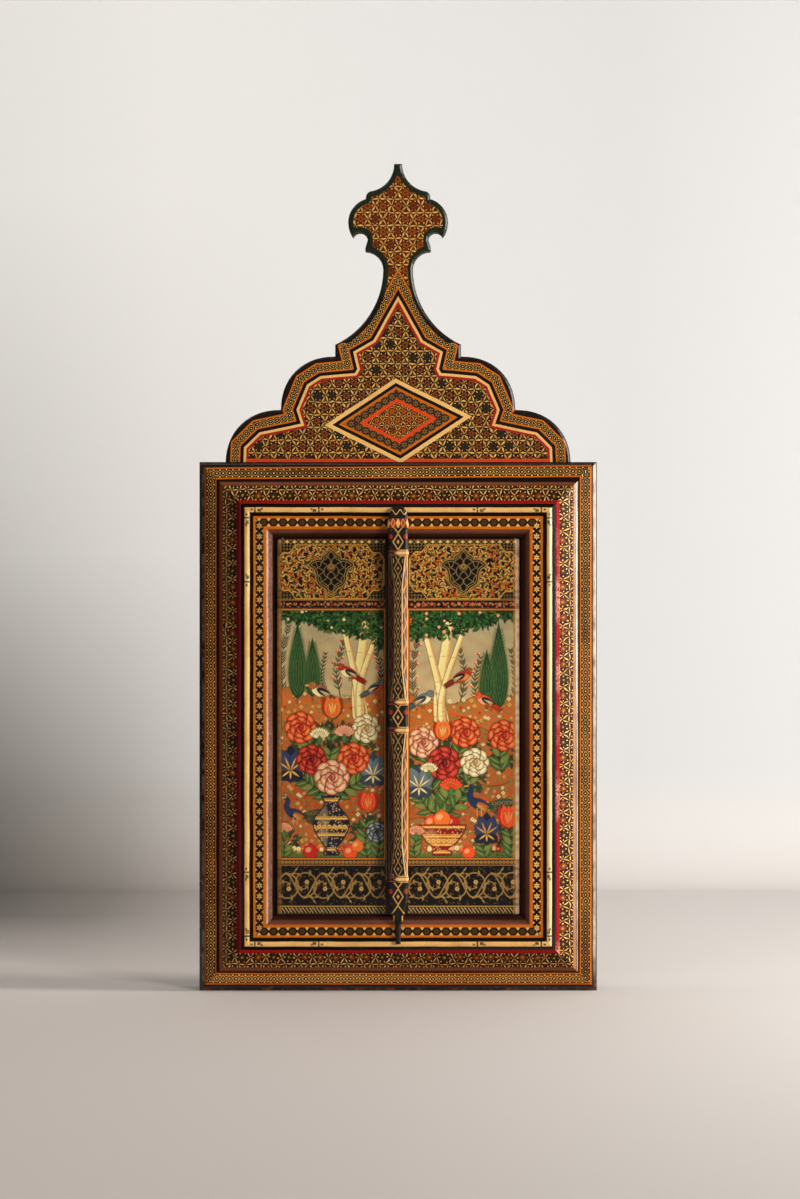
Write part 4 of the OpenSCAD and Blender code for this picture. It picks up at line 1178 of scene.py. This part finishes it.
def leaf_foot_panel(art, chance):
    """Chain border, a gold scroll that waves along a black band, and a strip of slanting strokes."""
    left, right, foot, head = art.edges()
    scroll_gold = rgb(160, 130, 76)
    hatch, top = foot + 3.7, head - 2.7
    art.box(left, right, top, head, rgb(44, 26, 16))
    for cx in np.arange(left + 0.9, right, 1.9):
        art.oval(cx, top + 1.35, 0.80, 0.68, 0.0, rgb(190, 148, 84))
        art.oval(cx, top + 1.35, 0.36, 0.30, 0.0, ink)
    for level in (top - 0.3, head - 0.35):
        art.box(left, right, level, level + 0.42, rgb(184, 118, 44))
    low, high = hatch + 0.9, top - 0.5
    mid_z, tall, pitch = (low + high) / 2, high - low, (right - left) / 3.0
    for n in range(7):
        cx = left + pitch * (0.25 + 0.5 * n)
        hand = 1 if n % 2 else -1
        u = np.linspace(0.0, 1.0, 24)
        a, r = -hand * UP + hand * u * 8.2, tall * (0.38 - 0.30 * u)
        curl = np.stack([cx + r * np.cos(a), mid_z + hand * tall * 0.06 + r * np.sin(a)], -1)
        art.stroke(curl, np.linspace(0.75, 0.36, len(u)), scroll_gold)
        for k in range(1, 22, 3):
            way = heading(curl, k)
            art.petal(*curl[k], 3.0 - 0.09 * k, 0.9, way - hand * 0.9, scroll_gold, belly=0.8)
            art.petal(*curl[k], 1.7, 0.5, way + hand * 1.1, mixed(scroll_gold, rust, 0.4), belly=0.8)
        blossom(art, *curl[-1], 1.2, rgb(200, 166, 102), rgb(150, 60, 34), 6, n)
        for side in (-1, 1):
            bx, bz = cx + side * pitch * 0.25, mid_z - hand * side * tall * 0.36
            art.petal(bx, bz, 2.6, 0.8, hand * side * 0.6 + UP, scroll_gold, belly=0.8)
            art.petal(bx, bz, 2.3, 0.8, hand * side * 0.6 - UP, scroll_gold, belly=0.8)
    t = np.linspace(left - 2.0, right + 2.0, 90)
    stem = np.stack([t, mid_z + tall * 0.30 * np.sin((t - left) * 2 * math.pi / pitch)], -1)
    art.stroke(stem, 0.62, scroll_gold)
    for _ in range(260):
        bx, bz = left + chance.random() * (right - left), low + chance.random() * tall
        spot = art.colour[int((bz - foot) / art.step), int((bx - left) / art.step)]
        if spot.sum() < 0.10:
            art.oval(bx, bz, 0.34, 0.30, 0.0, rgb(92, 72, 42))
    art.box(left, right, foot, hatch + 0.5, rgb(30, 18, 12))
    art.box(left, right, hatch, hatch + 0.5, rgb(190, 148, 74))
    for n, cx in enumerate(np.arange(left - 1.0, right + 1.0, 1.75)):
        art.stroke([(cx, hatch - 0.5), (cx + 1.8, foot + 0.7)], (0.46, 0.30), rgb(200, 172, 124))
        if n % 3 == 1:
            art.stroke([(cx + 0.2, foot + 0.8), (cx + 1.5, hatch - 0.7)], 0.28, rgb(168, 136, 88))
    art.frame(left, right, foot, head, 0.4, rgb(84, 50, 22))


panel_paint, tree, shader = start("panel_paint")
where, x, y, z = place(tree)
pigment = add(tree, "Attribute", attribute_name="paint").outputs["Color"]
varnish(tree, shader, pigment, where, 0.35, 0.2)

heel_x, heel_y = abs(frame["joints"][0]["pos_m"][0]) / MM, (leaf_front + leaf_back) / 2
heel_r, paint_proud, rim_turn = abs(leaf_front - leaf_back) / 2, 0.07, 0.4


def hang(name, art, body):
    """Lays a painting on the leaf's face and round its heel, with its rim turned into the leaf."""
    x, z = np.meshgrid(np.pad(art.x, 1, "edge"), np.pad(art.z, 1, "edge"))
    out = np.clip(np.abs(x) - heel_x, 0.0, heel_r)
    y = heel_y - np.sqrt((heel_r + paint_proud) ** 2 - out ** 2)
    y[[0, -1], :] += rim_turn
    y[1:-1, [0, -1]] += rim_turn
    piece = surface(name, np.stack([x, y, z], -1), panel_paint)
    tint = np.pad(art.colour, ((1, 1), (1, 1), (0, 0)), "edge").reshape(-1, 3)
    tint = np.hstack([tint, np.ones((len(tint), 1))]).astype(np.float32)
    layer = piece.data.color_attributes.new("paint", "FLOAT_COLOR", "POINT")
    layer.data.foreach_set("color", tint.ravel())
    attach(piece, body)


warm_rose = (scarlet, vermilion, rgb(232, 128, 80))
pink_rose = (rgb(166, 74, 66), pink, rgb(240, 200, 176))
dark_rose = (rgb(84, 14, 20), scarlet, rgb(200, 76, 62))
pale_rose = (rgb(178, 136, 86), cream, rgb(244, 232, 204))
gold_rose = (rgb(140, 44, 22), rgb(214, 100, 42), rgb(238, 170, 100))
blue_rose = (rgb(34, 46, 66), slate, rgb(150, 168, 180))
night, dusk_blue = (navy, rgb(44, 52, 94), bright_gold), (rgb(46, 60, 82), slate, cream)
crown_greens, peacock = (rgb(34, 84, 40), rgb(16, 36, 20), rgb(66, 104, 50)), rgb(28, 44, 84)
vase = [(3.4, 0.0), (3.9, 1.3), (2.4, 3.2), (5.6, 7.5), (8.8, 13.5), (8.4, 18.5), (4.9, 23.0),
        (3.2, 26.0), (4.9, 29.5)]
bowl = [(4.2, 0.0), (4.8, 1.3), (2.8, 3.0), (7.5, 6.5), (11.2, 12.0), (12.0, 15.0)]


def heel_rub_and_highlight(art, side, share=1.0):
    """Where hands pull a leaf its heel is rubbed: tan strips at the left, and at the right a gold
    line and a pale strip, the pale strip being a painted highlight on the round heel; all lie in
    patches whose strength is a sine of a sine of the height."""
    out, up = np.abs(art.x)[None, :], art.z[:, None]
    patches = share * (0.72 + 0.28 * np.sin(1.3 * up + 2.0 * np.sin(0.41 * up)))
    strips = {-1: ((58.3, rgb(112, 76, 40)), (58.8, rgb(172, 134, 86))),
              1: ((57.8, rgb(176, 122, 48)), (59.1, rgb(198, 188, 182)))}
    for inner, tint in strips[side]:
        art.cover(art.everywhere, inner - out, tint, patches)


def garden_plan(side):
    """Where the trees, pots, flowers and birds of one leaf stand; the two leaves differ."""
    red_buds = (vermilion, scarlet)
    if side < 0:
        root = (-33.5, 98.0)
        return {
            "hill": 150.0, "phase": 0.0,
            "feathers": [([(-57.5, 146.0), (-58.5, 166.0), (-55.0, 184.0)], 17, 5.0, None),
                         ([(-29.0, 148.0), (-31.0, 162.0), (-27.0, 176.0)], 13, 4.5, red_buds),
                         ([(-10.0, 148.0), (-8.5, 160.0), (-11.5, 172.0)], 12, 4.5, red_buds),
                         ([(-36.0, 148.0), (-38.5, 158.0), (-36.5, 170.0)], 11, 4.0, None)],
            "cypress": [(-50.5, 147.0, 39.0, 9.0), (-43.0, 148.0, 30.0, 7.5)],
            "thickets": [(-33.5, 117.0, 21.0, 17.0), (-14.0, 78.0, 8.0, 9.0), (-56.0, 74.0, 5.0, 7.0)],
            "trees": [((-19.0, 139.0),
                       [([(-20.0, 154.0), (-16.5, 184.0)], 7.6),
                        ([(-21.0, 155.0), (-27.5, 184.0)], 4.6),
                        ([(-18.6, 156.0), (-10.5, 180.0)], 3.8)],
                       [(-17.0, 186.0, 12.5, 8.0), (-31.0, 187.5, 11.0, 6.5), (-47.0, 190.0, 13.0, 4.5),
                        (-8.5, 181.0, 4.0, 9.0)],
                       rgb(224, 196, 146), crown_greens, cream)],
            "sprays": [([root, (-40.0, 114.0), (-49.0, 131.0)], 7, 9.0),
                       ([root, (-27.0, 114.0), (-16.0, 131.0)], 7, 9.0),
                       ([root, (-44.0, 104.0), (-54.0, 112.0)], 6, 8.5),
                       ([root, (-22.0, 104.0), (-12.0, 110.0)], 6, 8.5),
                       ([root, (-34.0, 116.0), (-33.0, 140.0)], 9, 8.5),
                       ([(-15.5, 67.0), (-16.5, 76.0), (-15.0, 92.0)], 6, 8.0),
                       ([(-10.5, 67.0), (-9.5, 74.0), (-10.5, 80.0)], 4, 7.0),
                       ([(-57.5, 67.0), (-57.0, 72.0), (-58.0, 78.0)], 4, 6.5)],
            "fruit": [(-24.0, 69.8, 3.4, vermilion), (-20.5, 73.0, 3.0, gold_rose[1]),
                      (-44.0, 70.2, 3.6, scarlet)],
            "vessels": [(-33.5, 68.5, vase, navy, bright_gold)],
            "flowers": [(rose, -49.0, 132.5, 8.0, *warm_rose), (rose, -16.0, 132.0, 7.2, *pale_rose),
                        (tulip, -33.0, 137.0, 11.5, *gold_rose), (iris, -54.0, 111.0, 12.5, *night),
                        (iris, -12.6, 108.5, 12.0, *dusk_blue), (rose, -43.5, 116.5, 7.6, *dark_rose),
                        (rose, -22.5, 117.0, 8.0, *warm_rose), (rose, -33.2, 107.5, 8.8, *pink_rose),
                        (carnation, -39.5, 127.0, 6.0, *pale_rose),
                        (carnation, -27.0, 128.0, 6.4, *pink_rose),
                        (tulip, -15.0, 90.0, 10.5, *warm_rose), (rose, -10.8, 80.0, 5.2, *blue_rose),
                        (carnation, -57.3, 80.0, 5.4, *pink_rose)],
            "birds": [(peafowl, -50.5, 89.0, 9.5, -1, peacock, rgb(34, 76, 70), rgb(58, 124, 120)),
                      (bird, -24.5, 160.0, 9.5, -1, scarlet, navy, cream),
                      (bird, -11.5, 152.5, 8.5, 1, slate, navy, vermilion),
                      (bird, -38.5, 150.5, 10.5, -1, rgb(150, 92, 48), navy, cream)],
        }
    root = (22.0, 86.0)
    return {
        "hill": 147.0, "phase": 1.9,
        "feathers": [([(8.5, 142.0), (7.0, 160.0), (9.5, 176.0)], 16, 5.0, red_buds),
                     ([(31.0, 144.0), (33.5, 158.0), (31.0, 172.0)], 13, 4.5, None),
                     ([(40.0, 143.0), (38.5, 156.0), (41.5, 168.0)], 12, 4.5, red_buds),
                     ([(58.0, 142.0), (59.0, 158.0), (56.5, 172.0)], 13, 4.5, None)],
        "cypress": [(50.5, 142.0, 44.0, 9.5), (44.5, 144.0, 28.0, 7.0)],
        "thickets": [(24.0, 112.0, 19.0, 17.0), (53.5, 122.0, 7.0, 9.0), (49.5, 76.0, 10.0, 8.0)],
        "trees": [((22.0, 134.0),
                   [([(21.0, 150.0), (25.5, 184.0)], 7.4), ([(20.8, 152.0), (13.0, 182.0)], 4.6),
                    ([(22.6, 151.0), (33.0, 182.0)], 3.8)],
                   [(23.0, 186.0, 13.0, 8.0), (10.0, 185.0, 8.0, 8.0), (38.0, 188.0, 11.0, 5.5),
                    (54.0, 190.5, 8.0, 3.5)],
                   rgb(226, 200, 152), crown_greens, pink)],
        "sprays": [([root, (17.0, 104.0), (12.0, 124.0)], 8, 9.0),
                   ([root, (27.0, 106.0), (33.0, 130.0)], 8, 9.0),
                   ([root, (32.0, 98.0), (39.0, 114.0)], 6, 8.5),
                   ([root, (13.0, 94.0), (8.5, 104.0)], 6, 8.0),
                   ([(52.0, 110.0), (51.0, 118.0), (53.0, 128.0)], 5, 8.0),
                   ([(44.0, 67.0), (43.0, 72.0), (44.5, 78.0)], 4, 7.5),
                   ([(56.0, 67.0), (57.0, 74.0), (55.5, 84.0)], 5, 8.0),
                   ([(8.5, 67.0), (8.0, 72.0), (9.0, 77.0)], 4, 6.5)],
        "fruit": [(17.0, 84.5, 3.8, vermilion), (27.0, 84.5, 3.6, scarlet),
                  (22.0, 86.5, 4.2, gold_rose[1]), (35.5, 69.6, 3.2, vermilion)],
        "vessels": [(22.0, 68.5, bowl, rgb(120, 22, 26), bright_gold)],
        "flowers": [(rose, 12.5, 125.0, 7.8, *pink_rose), (rose, 33.5, 130.0, 7.6, *warm_rose),
                    (rose, 23.0, 114.5, 8.6, *dark_rose), (iris, 10.5, 102.5, 12.0, *dusk_blue),
                    (rose, 38.5, 115.0, 7.2, *pale_rose), (tulip, 22.5, 126.0, 10.5, *gold_rose),
                    (carnation, 26.5, 101.0, 7.0, *warm_rose),
                    (carnation, 15.5, 110.0, 5.4, *pale_rose),
                    (rose, 53.0, 128.5, 7.8, *warm_rose), (iris, 44.5, 79.0, 11.0, *night),
                    (tulip, 55.5, 82.0, 12.0, *warm_rose), (carnation, 9.0, 78.5, 5.4, *pink_rose)],
        "birds": [(peafowl, 42.0, 94.0, 10.5, -1, peacock, rgb(38, 80, 66), rgb(70, 132, 124)),
                  (bird, 31.5, 158.0, 9.5, 1, rgb(150, 50, 40), navy, rgb(214, 112, 56)),
                  (bird, 12.0, 146.5, 10.0, 1, slate, rgb(40, 54, 76), cream),
                  (bird, 44.0, 146.0, 9.0, -1, vermilion, navy, pink)],
    }


# Heights of the three panels, and how far each reaches from its heel towards the batten.
foot_z, picture_z, head_z, top_z = 38.8, 66.2, 192.1, 227.2
picture_step, border_step, heel_edge = 0.28, 0.21, 60.9
# The pictures are lightened as a whole once they are painted, up to the palest paint.
picture_gain, palest = 1.5, 0.92
for name, side, left, right in (("left_leaf", -1, -heel_edge, -6.3), ("right_leaf", 1, 4.8, heel_edge)):
    chance = np.random.default_rng(31 + side)
    picture = Painting(left, right, picture_z, head_z, picture_step, earth)
    garden(picture, garden_plan(side), chance)
    picture.colour = np.minimum(picture.colour * picture_gain, palest)
    heel_rub_and_highlight(picture, side)
    hang(name + "_picture", picture, name)
    header = Painting(left, right, head_z, top_z, border_step, ink)
    leaf_head_panel(header, chance)
    heel_rub_and_highlight(header, side, 0.5)
    hang(name + "_head", header, name)
    footer = Painting(left, right, foot_z, picture_z, border_step, rgb(12, 7, 5))
    leaf_foot_panel(footer, chance)
    heel_rub_and_highlight(footer, side, 0.5)
    hang(name + "_foot", footer, name)


# Meeting lip
# A thin strip in the leaves' dark paint on the free edge of the right leaf. It closes
# most of the gap between the leaves, a dark sheet standing in for the shade in that gap, and turns with
# its leaf.
free_edge, lip_out, lip_in, lip_back, lip_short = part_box("right_leaf")[0].x / MM, 0.5, 0.3, 0.5, 0.3
left_x, right_x = free_edge - lip_out, free_edge + lip_in
front_y, back_y = leaf_front + lip_back, leaf_back - lip_back
loop = np.array([(left_x, front_y), (right_x, front_y), (right_x, back_y), (left_x, back_y),
                 (left_x, front_y)])
heart = np.tile(loop.mean(0), (len(loop), 1))
low, high = leaf_foot + lip_short, leaf_head - lip_short
rings = [np.column_stack([ring, np.full(len(ring), level)])
         for level, ring in ((low, heart), (low, loop), (high, loop), (high, heart))]
shade_lip = surface("gap_shade_strip", np.array(rings), leaf_paint, smooth=False)
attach(shade_lip, "right_leaf")


# Meeting batten
# One carved stick, pegged to the right leaf over the joint: a domed head, stop-chamfered
# stretches between knops, an arrow and a thin stem. Gold lattice on black, rust on the chamfers.
batten_half, long_chamfer, block_chamfer, run_out = 4.8, 2.8, 1.0, 17.0
blocks = ((20.0, 57.2), (131.6, 145.6), (220.0, 250.0))
knops, collar_z, dome_z, lattice_step = (57.2, 131.6, 145.6, 220.0), (232.6, 237.2), 240.4, 7.5
batten_paint, tree, shader = start("batten_paint")
where, x, y, z = place(tree)
# Where the flat front ends and the chamfer starts: near the edge on the blocks, well in between.
beyond = reduce(Mark.least, [(low - z).most(z - high).most(0.0) for low, high in blocks])
arris = batten_half - block_chamfer - beyond.ramp(0.0, run_out) * (long_chamfer - block_chamfer)
side, right_hand = x.size(), x.over(0.0, 0.3)
# Between the blocks a row of gold lozenges with small spurs runs down the front.
step = (z + 1.4).nearest(lattice_step).size()
width = arris * 0.62
lattice = (side - step / (lattice_step / 2) * width).size().under(arris * 0.065, 0.14)
lattice = lattice.most((side / 0.55 + (lattice_step / 2 - step) / 0.9).under(1.0, 0.3))
lattice = lattice.most((side - width - step * 0.35).size().under(0.2, 0.14) * step.under(1.2, 0.3))
stretch = lay(lattice * side.under(arris - 0.3), rgb(16, 10, 8), rgb(166, 130, 74))
# The chamfers: rust with a gold wave at the right and dull brown at the left, the same paint lit and in
# shade: painted light and shade.
ripple = (z * 0.62).do("SINE")
in_by = (side - arris) / (batten_half - arris)
warm = lay(noise(tree, where, 0.4, 3.0).ramp(0.3, 0.7), rgb(82, 38, 17), rgb(134, 72, 30))
warm = lay((in_by - 0.5 - ripple * 0.24).size().under(0.13, 0.08), warm, rgb(184, 136, 72))
warm = lay(((z * 0.31).do("SINE").size() * 0.5 - in_by).over(0.08, 0.06), warm, rgb(30, 18, 14))
dull = lay((in_by - 0.45 - ripple * 0.2).size().under(0.10, 0.08), rgb(46, 24, 17), rgb(98, 62, 42))
colour = lay(side.over(arris), stretch, lay(right_hand, dull, warm))
# Pale lines run along the arrises, much stronger on the right: cream paint lines with a painted
# highlight on the right.
arris_lines_and_highlight = (side - arris).size().under(0.26, 0.15).most(side.over(batten_half - 0.3, 0.15))
colour = lay(arris_lines_and_highlight * (0.15 + right_hand * 0.8), colour, rgb(216, 186, 142))
# Each block has a lozenge with spurs and a red spot at either side; then collar, dome and knops.
for low, high, middle in ((221.0, 232.6, 225.6), (132.4, 144.6, 138.0), (20.0, 56.4, 48.5)):
    rise = z - middle
    far, round_x, round_z = rise.size(), side - 3.9, rise - 2.6
    mark = (side / 2.5 + far / 4.0 - 1.0).size().under(0.13, 0.06)
    mark = mark.most((side + far * 0.6).under(0.7, 0.2))
    mark = mark.most((side - (far - 4.4) * 0.75).size().under(0.34, 0.15) * far.between(4.2, 8.5))
    mark = mark.most((side - 2.1).size().under(0.3, 0.15) * far.between(9.5, 14.0))
    tag = lay(mark, rgb(18, 11, 9), rgb(196, 156, 88))
    tag = lay((round_x * round_x + round_z * round_z).under(1.5, 0.6), tag, rgb(138, 42, 32))
    colour = lay(z.between(low, high), colour, tag)
span = x.nearest(2.5).size() - (1.0 - (z - sum(collar_z) / 2).size() / 2.5) * 1.05
tooth = lay(x.nearest(5.0).size().under(1.25), rgb(176, 62, 40), rgb(224, 178, 112))
collar = lay(span.under(0.0, 0.15), rgb(120, 40, 28), tooth)
collar = lay(span.size().under(0.13, 0.1), collar, rgb(214, 172, 100))
colour = lay(z.between(*collar_z), colour, collar)
wave = (z - dome_z - (x * 1.5).do("SINE") * 1.1).size().under(0.34, 0.15)
colour = lay(z.over(collar_z[1]), colour, lay(wave, rgb(18, 11, 9), rgb(206, 166, 96)))
# Each knop is dark on its left and cream on its right: painted shade and painted highlight, with a
# brown ring.
for knop in knops:
    ring = (z - knop).size()
    cheek = lay((x + 1.4 - ring * 1.3).ramp(-0.9, 0.9), rgb(44, 25, 16), rgb(230, 190, 134))
    cheek = lay((ring - 1.0).size().under(0.22, 0.1), cheek, rgb(120, 52, 26))
    colour = lay(ring.under(1.6, 0.3), colour, cheek)
# Its parts that lie back towards the leaf and the frame are darkened, less on the right: painted shade.
base_shade = y.over(case_front - 11.6, 0.2)
colour = lay(base_shade * (1.0 - right_hand * 0.5), colour, rgb(34, 19, 14))
rub = noise(tree, where, 0.5, 4.0).ramp(0.60, 0.68) * (side - arris).size().under(0.7, 0.5)
colour = lay(rub * 0.8, colour, rubbed)
varnish(tree, shader, colour, where, 0.5, 0.06, worn=0.16)
dress(batten_paint, "meeting_batten")


# Crest
# A cusped board with a hooked finial, dowelled to the top of the box. Straight painted strips
# follow its outline inside a dark rim: orange, gold chain, ivory and red round a star field.
crest_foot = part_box("top_board")[1].z / MM
# Corners of the right half of the painted strips, from the foot up, and the runs of strips that
# bound each lobe.
rim_half = [(84.6, 0.0), (84.2, 10.4), (73.1, 21.1), (57.6, 24.4), (58.3, 26.6), (51.3, 43.6),
            (41.3, 49.9), (28.4, 51.0), (30.3, 58.9), (17.4, 66.3), (0.0, 97.5)]
lobes_of_rim = (slice(0, 3), slice(3, 7), slice(7, 9), slice(9, 10))
crest_edge_r, crest_pitch = 1.2, 1.3


def cut_crest(name, pitch):
    """A merged copy of the crest board, cut by upright and level planes so that a value can
    change finely over it. Each point keeps its distance in from the board's outline, which is
    read where the rounded front edge ends: the least distance to any of its straight pieces."""
    knit = bmesh.new()
    knit.from_mesh(nodes["crest_board"].data)
    bmesh.ops.remove_doubles(knit, verts=knit.verts[:], dist=1e-6)
    low, high = (np.array(corner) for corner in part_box("crest_board"))
    for axis in (0, 2):
        normal = [0.0, 0.0, 0.0]
        normal[axis] = 1.0
        for at in np.arange(low[axis] + pitch * 0.5, high[axis], pitch):
            spot = [0.0, 0.0, 0.0]
            spot[axis] = at
            everything = knit.verts[:] + knit.edges[:] + knit.faces[:]
            bmesh.ops.bisect_plane(knit, geom=everything, dist=1e-7, plane_co=spot, plane_no=normal)
    mesh = bpy.data.meshes.new(name)
    knit.to_mesh(mesh)
    knit.free()
    points = np.empty(len(mesh.vertices) * 3)
    mesh.vertices.foreach_get("co", points)
    points = points.reshape(-1, 3)
    ends = np.empty(len(mesh.edges) * 2, int)
    mesh.edges.foreach_get("vertices", ends)
    ends = ends.reshape(-1, 2)
    level = np.abs(points[ends][..., 1] - (low[1] + crest_edge_r * MM)).max(1) < 1e-6
    a, b = points[ends[level, 0]][:, [0, 2]], points[ends[level, 1]][:, [0, 2]]
    p = points[:, [0, 2]]
    best = np.full(len(p), 1.0)
    for part in np.array_split(np.arange(len(p)), 60):
        ap, ab = p[part][:, None] - a[None], (b - a)[None]
        t = np.clip((ap * ab).sum(-1) / ((ab * ab).sum(-1) + 1e-18), 0.0, 1.0)
        best[part] = np.hypot(*np.moveaxis(ap - t[..., None] * ab, -1, 0)).min(1)
    layer = mesh.attributes.new("edge_in", "FLOAT", "POINT")
    layer.data.foreach_set("value", (best / MM).astype(np.float32))
    piece = bpy.data.objects.new(name, mesh)
    scene.collection.objects.link(piece)
    return piece


crest_paint, tree, shader = start("crest_paint")
where, x, y, z = place(tree)
edge_in = Mark(add(tree, "Attribute", attribute_name="edge_in").outputs["Fac"])
up = z - crest_foot
shake = (noise(tree, where, 0.08) - 0.5) * 0.5
flat = add(tree, "CombineXYZ", x.size(), up, 1.0).outputs[0]


def from_line(one, other):
    """Distance inward from the straight line through two points, and the way along it."""
    way = np.subtract(other, one) / np.hypot(*np.subtract(other, one))
    measures = []
    for axis in (np.array([-way[1], way[0]]), way):
        dot = add(tree, "VectorMath", flat, (*axis, -float(axis @ one)), operation="DOT_PRODUCT")
        measures.append(Mark(dot.outputs["Value"]))
    return measures


strips = [from_line(one, other) for one, other in zip(rim_half[:-1], rim_half[1:])]
bays = [reduce(Mark.least, [reach for reach, _ in strips[lobe]]) for lobe in lobes_of_rim]
across = reduce(Mark.most, bays)
along = reduce(Mark.__add__, [reach.do("COMPARE", across, 0.002) * run for reach, run in strips])
across = across + shake
field_dash = lay(noise(tree, where, 0.5).ramp(0.35, 0.65), rgb(176, 118, 54), rgb(232, 190, 114))
field = starred(tree, where, x, up - 40.0, 7.4, rgb(30, 17, 10), field_dash,
                rgb(120, 60, 22), rgb(44, 40, 30), rgb(120, 74, 30), 0.6, 0.064)
finial_field = starred(tree, where, x, up - 116.0, 7.6, rgb(74, 30, 10), field_dash,
                       rgb(136, 66, 18), rgb(104, 46, 15), rgb(48, 24, 10), 0.55, 0.066)
chain_strip, strips_end = (0.9, 4.1), 9.2
links, grains = marks(tree, gold_chain, along, across - sum(chain_strip) / 2, 3.4, 1.6)
in_strip = across.between(*chain_strip)
colour = lay(across.over(0.0), finial_field, black_ground)
colour = lay(links * in_strip, colour, gold)
colour = lay(grains * in_strip, colour, rgb(236, 210, 152))
colour = lay(across.between(0.0, 0.9).most(across.between(4.1, 5.0)), colour, orange_line)
for near, far, paint in ((5.0, 6.7, pitch_black), (6.7, 8.0, ivory),
                         (8.0, strips_end, rgb(158, 34, 28))):
    colour = lay(across.between(near, far), colour, paint)
colour = lay(across.over(strips_end), colour, field)
base_line = (up + shake).between(-2.0, 1.7) * across.over(8.2)
colour = lay(base_line, colour, rgb(214, 70, 32))
# The lozenge is drawn a little askew, and its lower point crosses the red line.
lean, lozenge_a, lozenge_b, lozenge_up = math.radians(3.5), 37.2, 21.4, 20.8
row_start, row_end = 4.8, 8.7
mid_up = up - lozenge_up
over_x = (x * math.cos(lean) + mid_up * math.sin(lean)).size()
over_z = (mid_up * math.cos(lean) - x * math.sin(lean)).size()
slant = math.hypot(lozenge_a, lozenge_b)
depth_in = (1.0 - over_x / lozenge_a - over_z / lozenge_b) * (lozenge_a * lozenge_b / slant)
depth_in = depth_in + shake * 0.6
run = over_z * (lozenge_b / slant) - over_x * (lozenge_a / slant)
from_row = depth_in - (row_start + row_end) / 2
heads, beside, off_mid = marks(tree, flower_row, run, from_row, 4.1, 6.0)
star_row = lay(off_mid.under(1.6, 0.3), rgb(60, 36, 20), rgb(16, 11, 9))
star_row = lay(heads * 0.85, star_row, rgb(122, 98, 70))
star_row = lay(off_mid.under(0.4, 0.2), star_row, rgb(40, 26, 18))
star_row = lay((beside - (from_row.size() - 0.9) * 0.9).under(0.0, 0.3), star_row, rgb(150, 96, 44))
heart = starred(tree, where, x, mid_up, 5.4, rgb(64, 28, 13), rgb(214, 160, 82),
                rgb(186, 74, 26), rgb(120, 48, 20), rgb(40, 22, 13), 0.7)
for near, far, paint in ((0.0, 2.0, ivory), (2.0, 3.6, pitch_black), (3.6, row_start, orange_line),
                         (row_start, row_end, star_row), (row_end, 10.4, rgb(214, 70, 30)),
                         (10.4, 30.0, heart)):
    colour = lay(depth_in.between(near, far), colour, paint)
# The rim is near black round the lobes and green black round the neck, finial and hooks. The
# sides and back of the board are plain and dark.
rim_w = 2.7
in_rim = edge_in.under(rim_w, 0.25)
dark_rim = (across.under(0.0) * up.under(93.0, 0.4)).most(in_rim * up.over(60.0))
colour = lay(dark_rim, colour, rgb(24, 15, 10))
hooks = up.under(119.4, 0.5) * x.size().over(15.0, 0.5) * up.over(109.0)
colour = lay((in_rim * up.over(84.0, 6.0)).most(hooks), colour, rgb(24, 36, 24))
strip_side = across.under(-0.3) * edge_in.over(rim_w, 0.25) * up.over(70.0, 1.0)
colour = lay(strip_side, colour, finial_field)
on_face = y.under(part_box("crest_board")[0].y / MM + 0.9, 0.3)
colour = lay(on_face, lay(up.over(80.0, 8.0), rgb(34, 20, 14), rgb(24, 34, 24)), colour)
rub = noise(tree, where, 0.4, 4.0).ramp(0.62, 0.70) * edge_in.under(1.0, 0.8)
colour = lay(rub * 0.7, colour, rubbed)
varnish(tree, shader, colour, where, 0.5, on_face * 0.2, None, 0.4 - on_face * 0.4)
crest = cut_crest("painted_crest", crest_pitch * MM)
crest.data.materials.append(crest_paint)
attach(crest, "case")
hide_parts("crest_board")


# Final update
# The view layer is brought up to date once more.
bpy.context.view_layer.update()
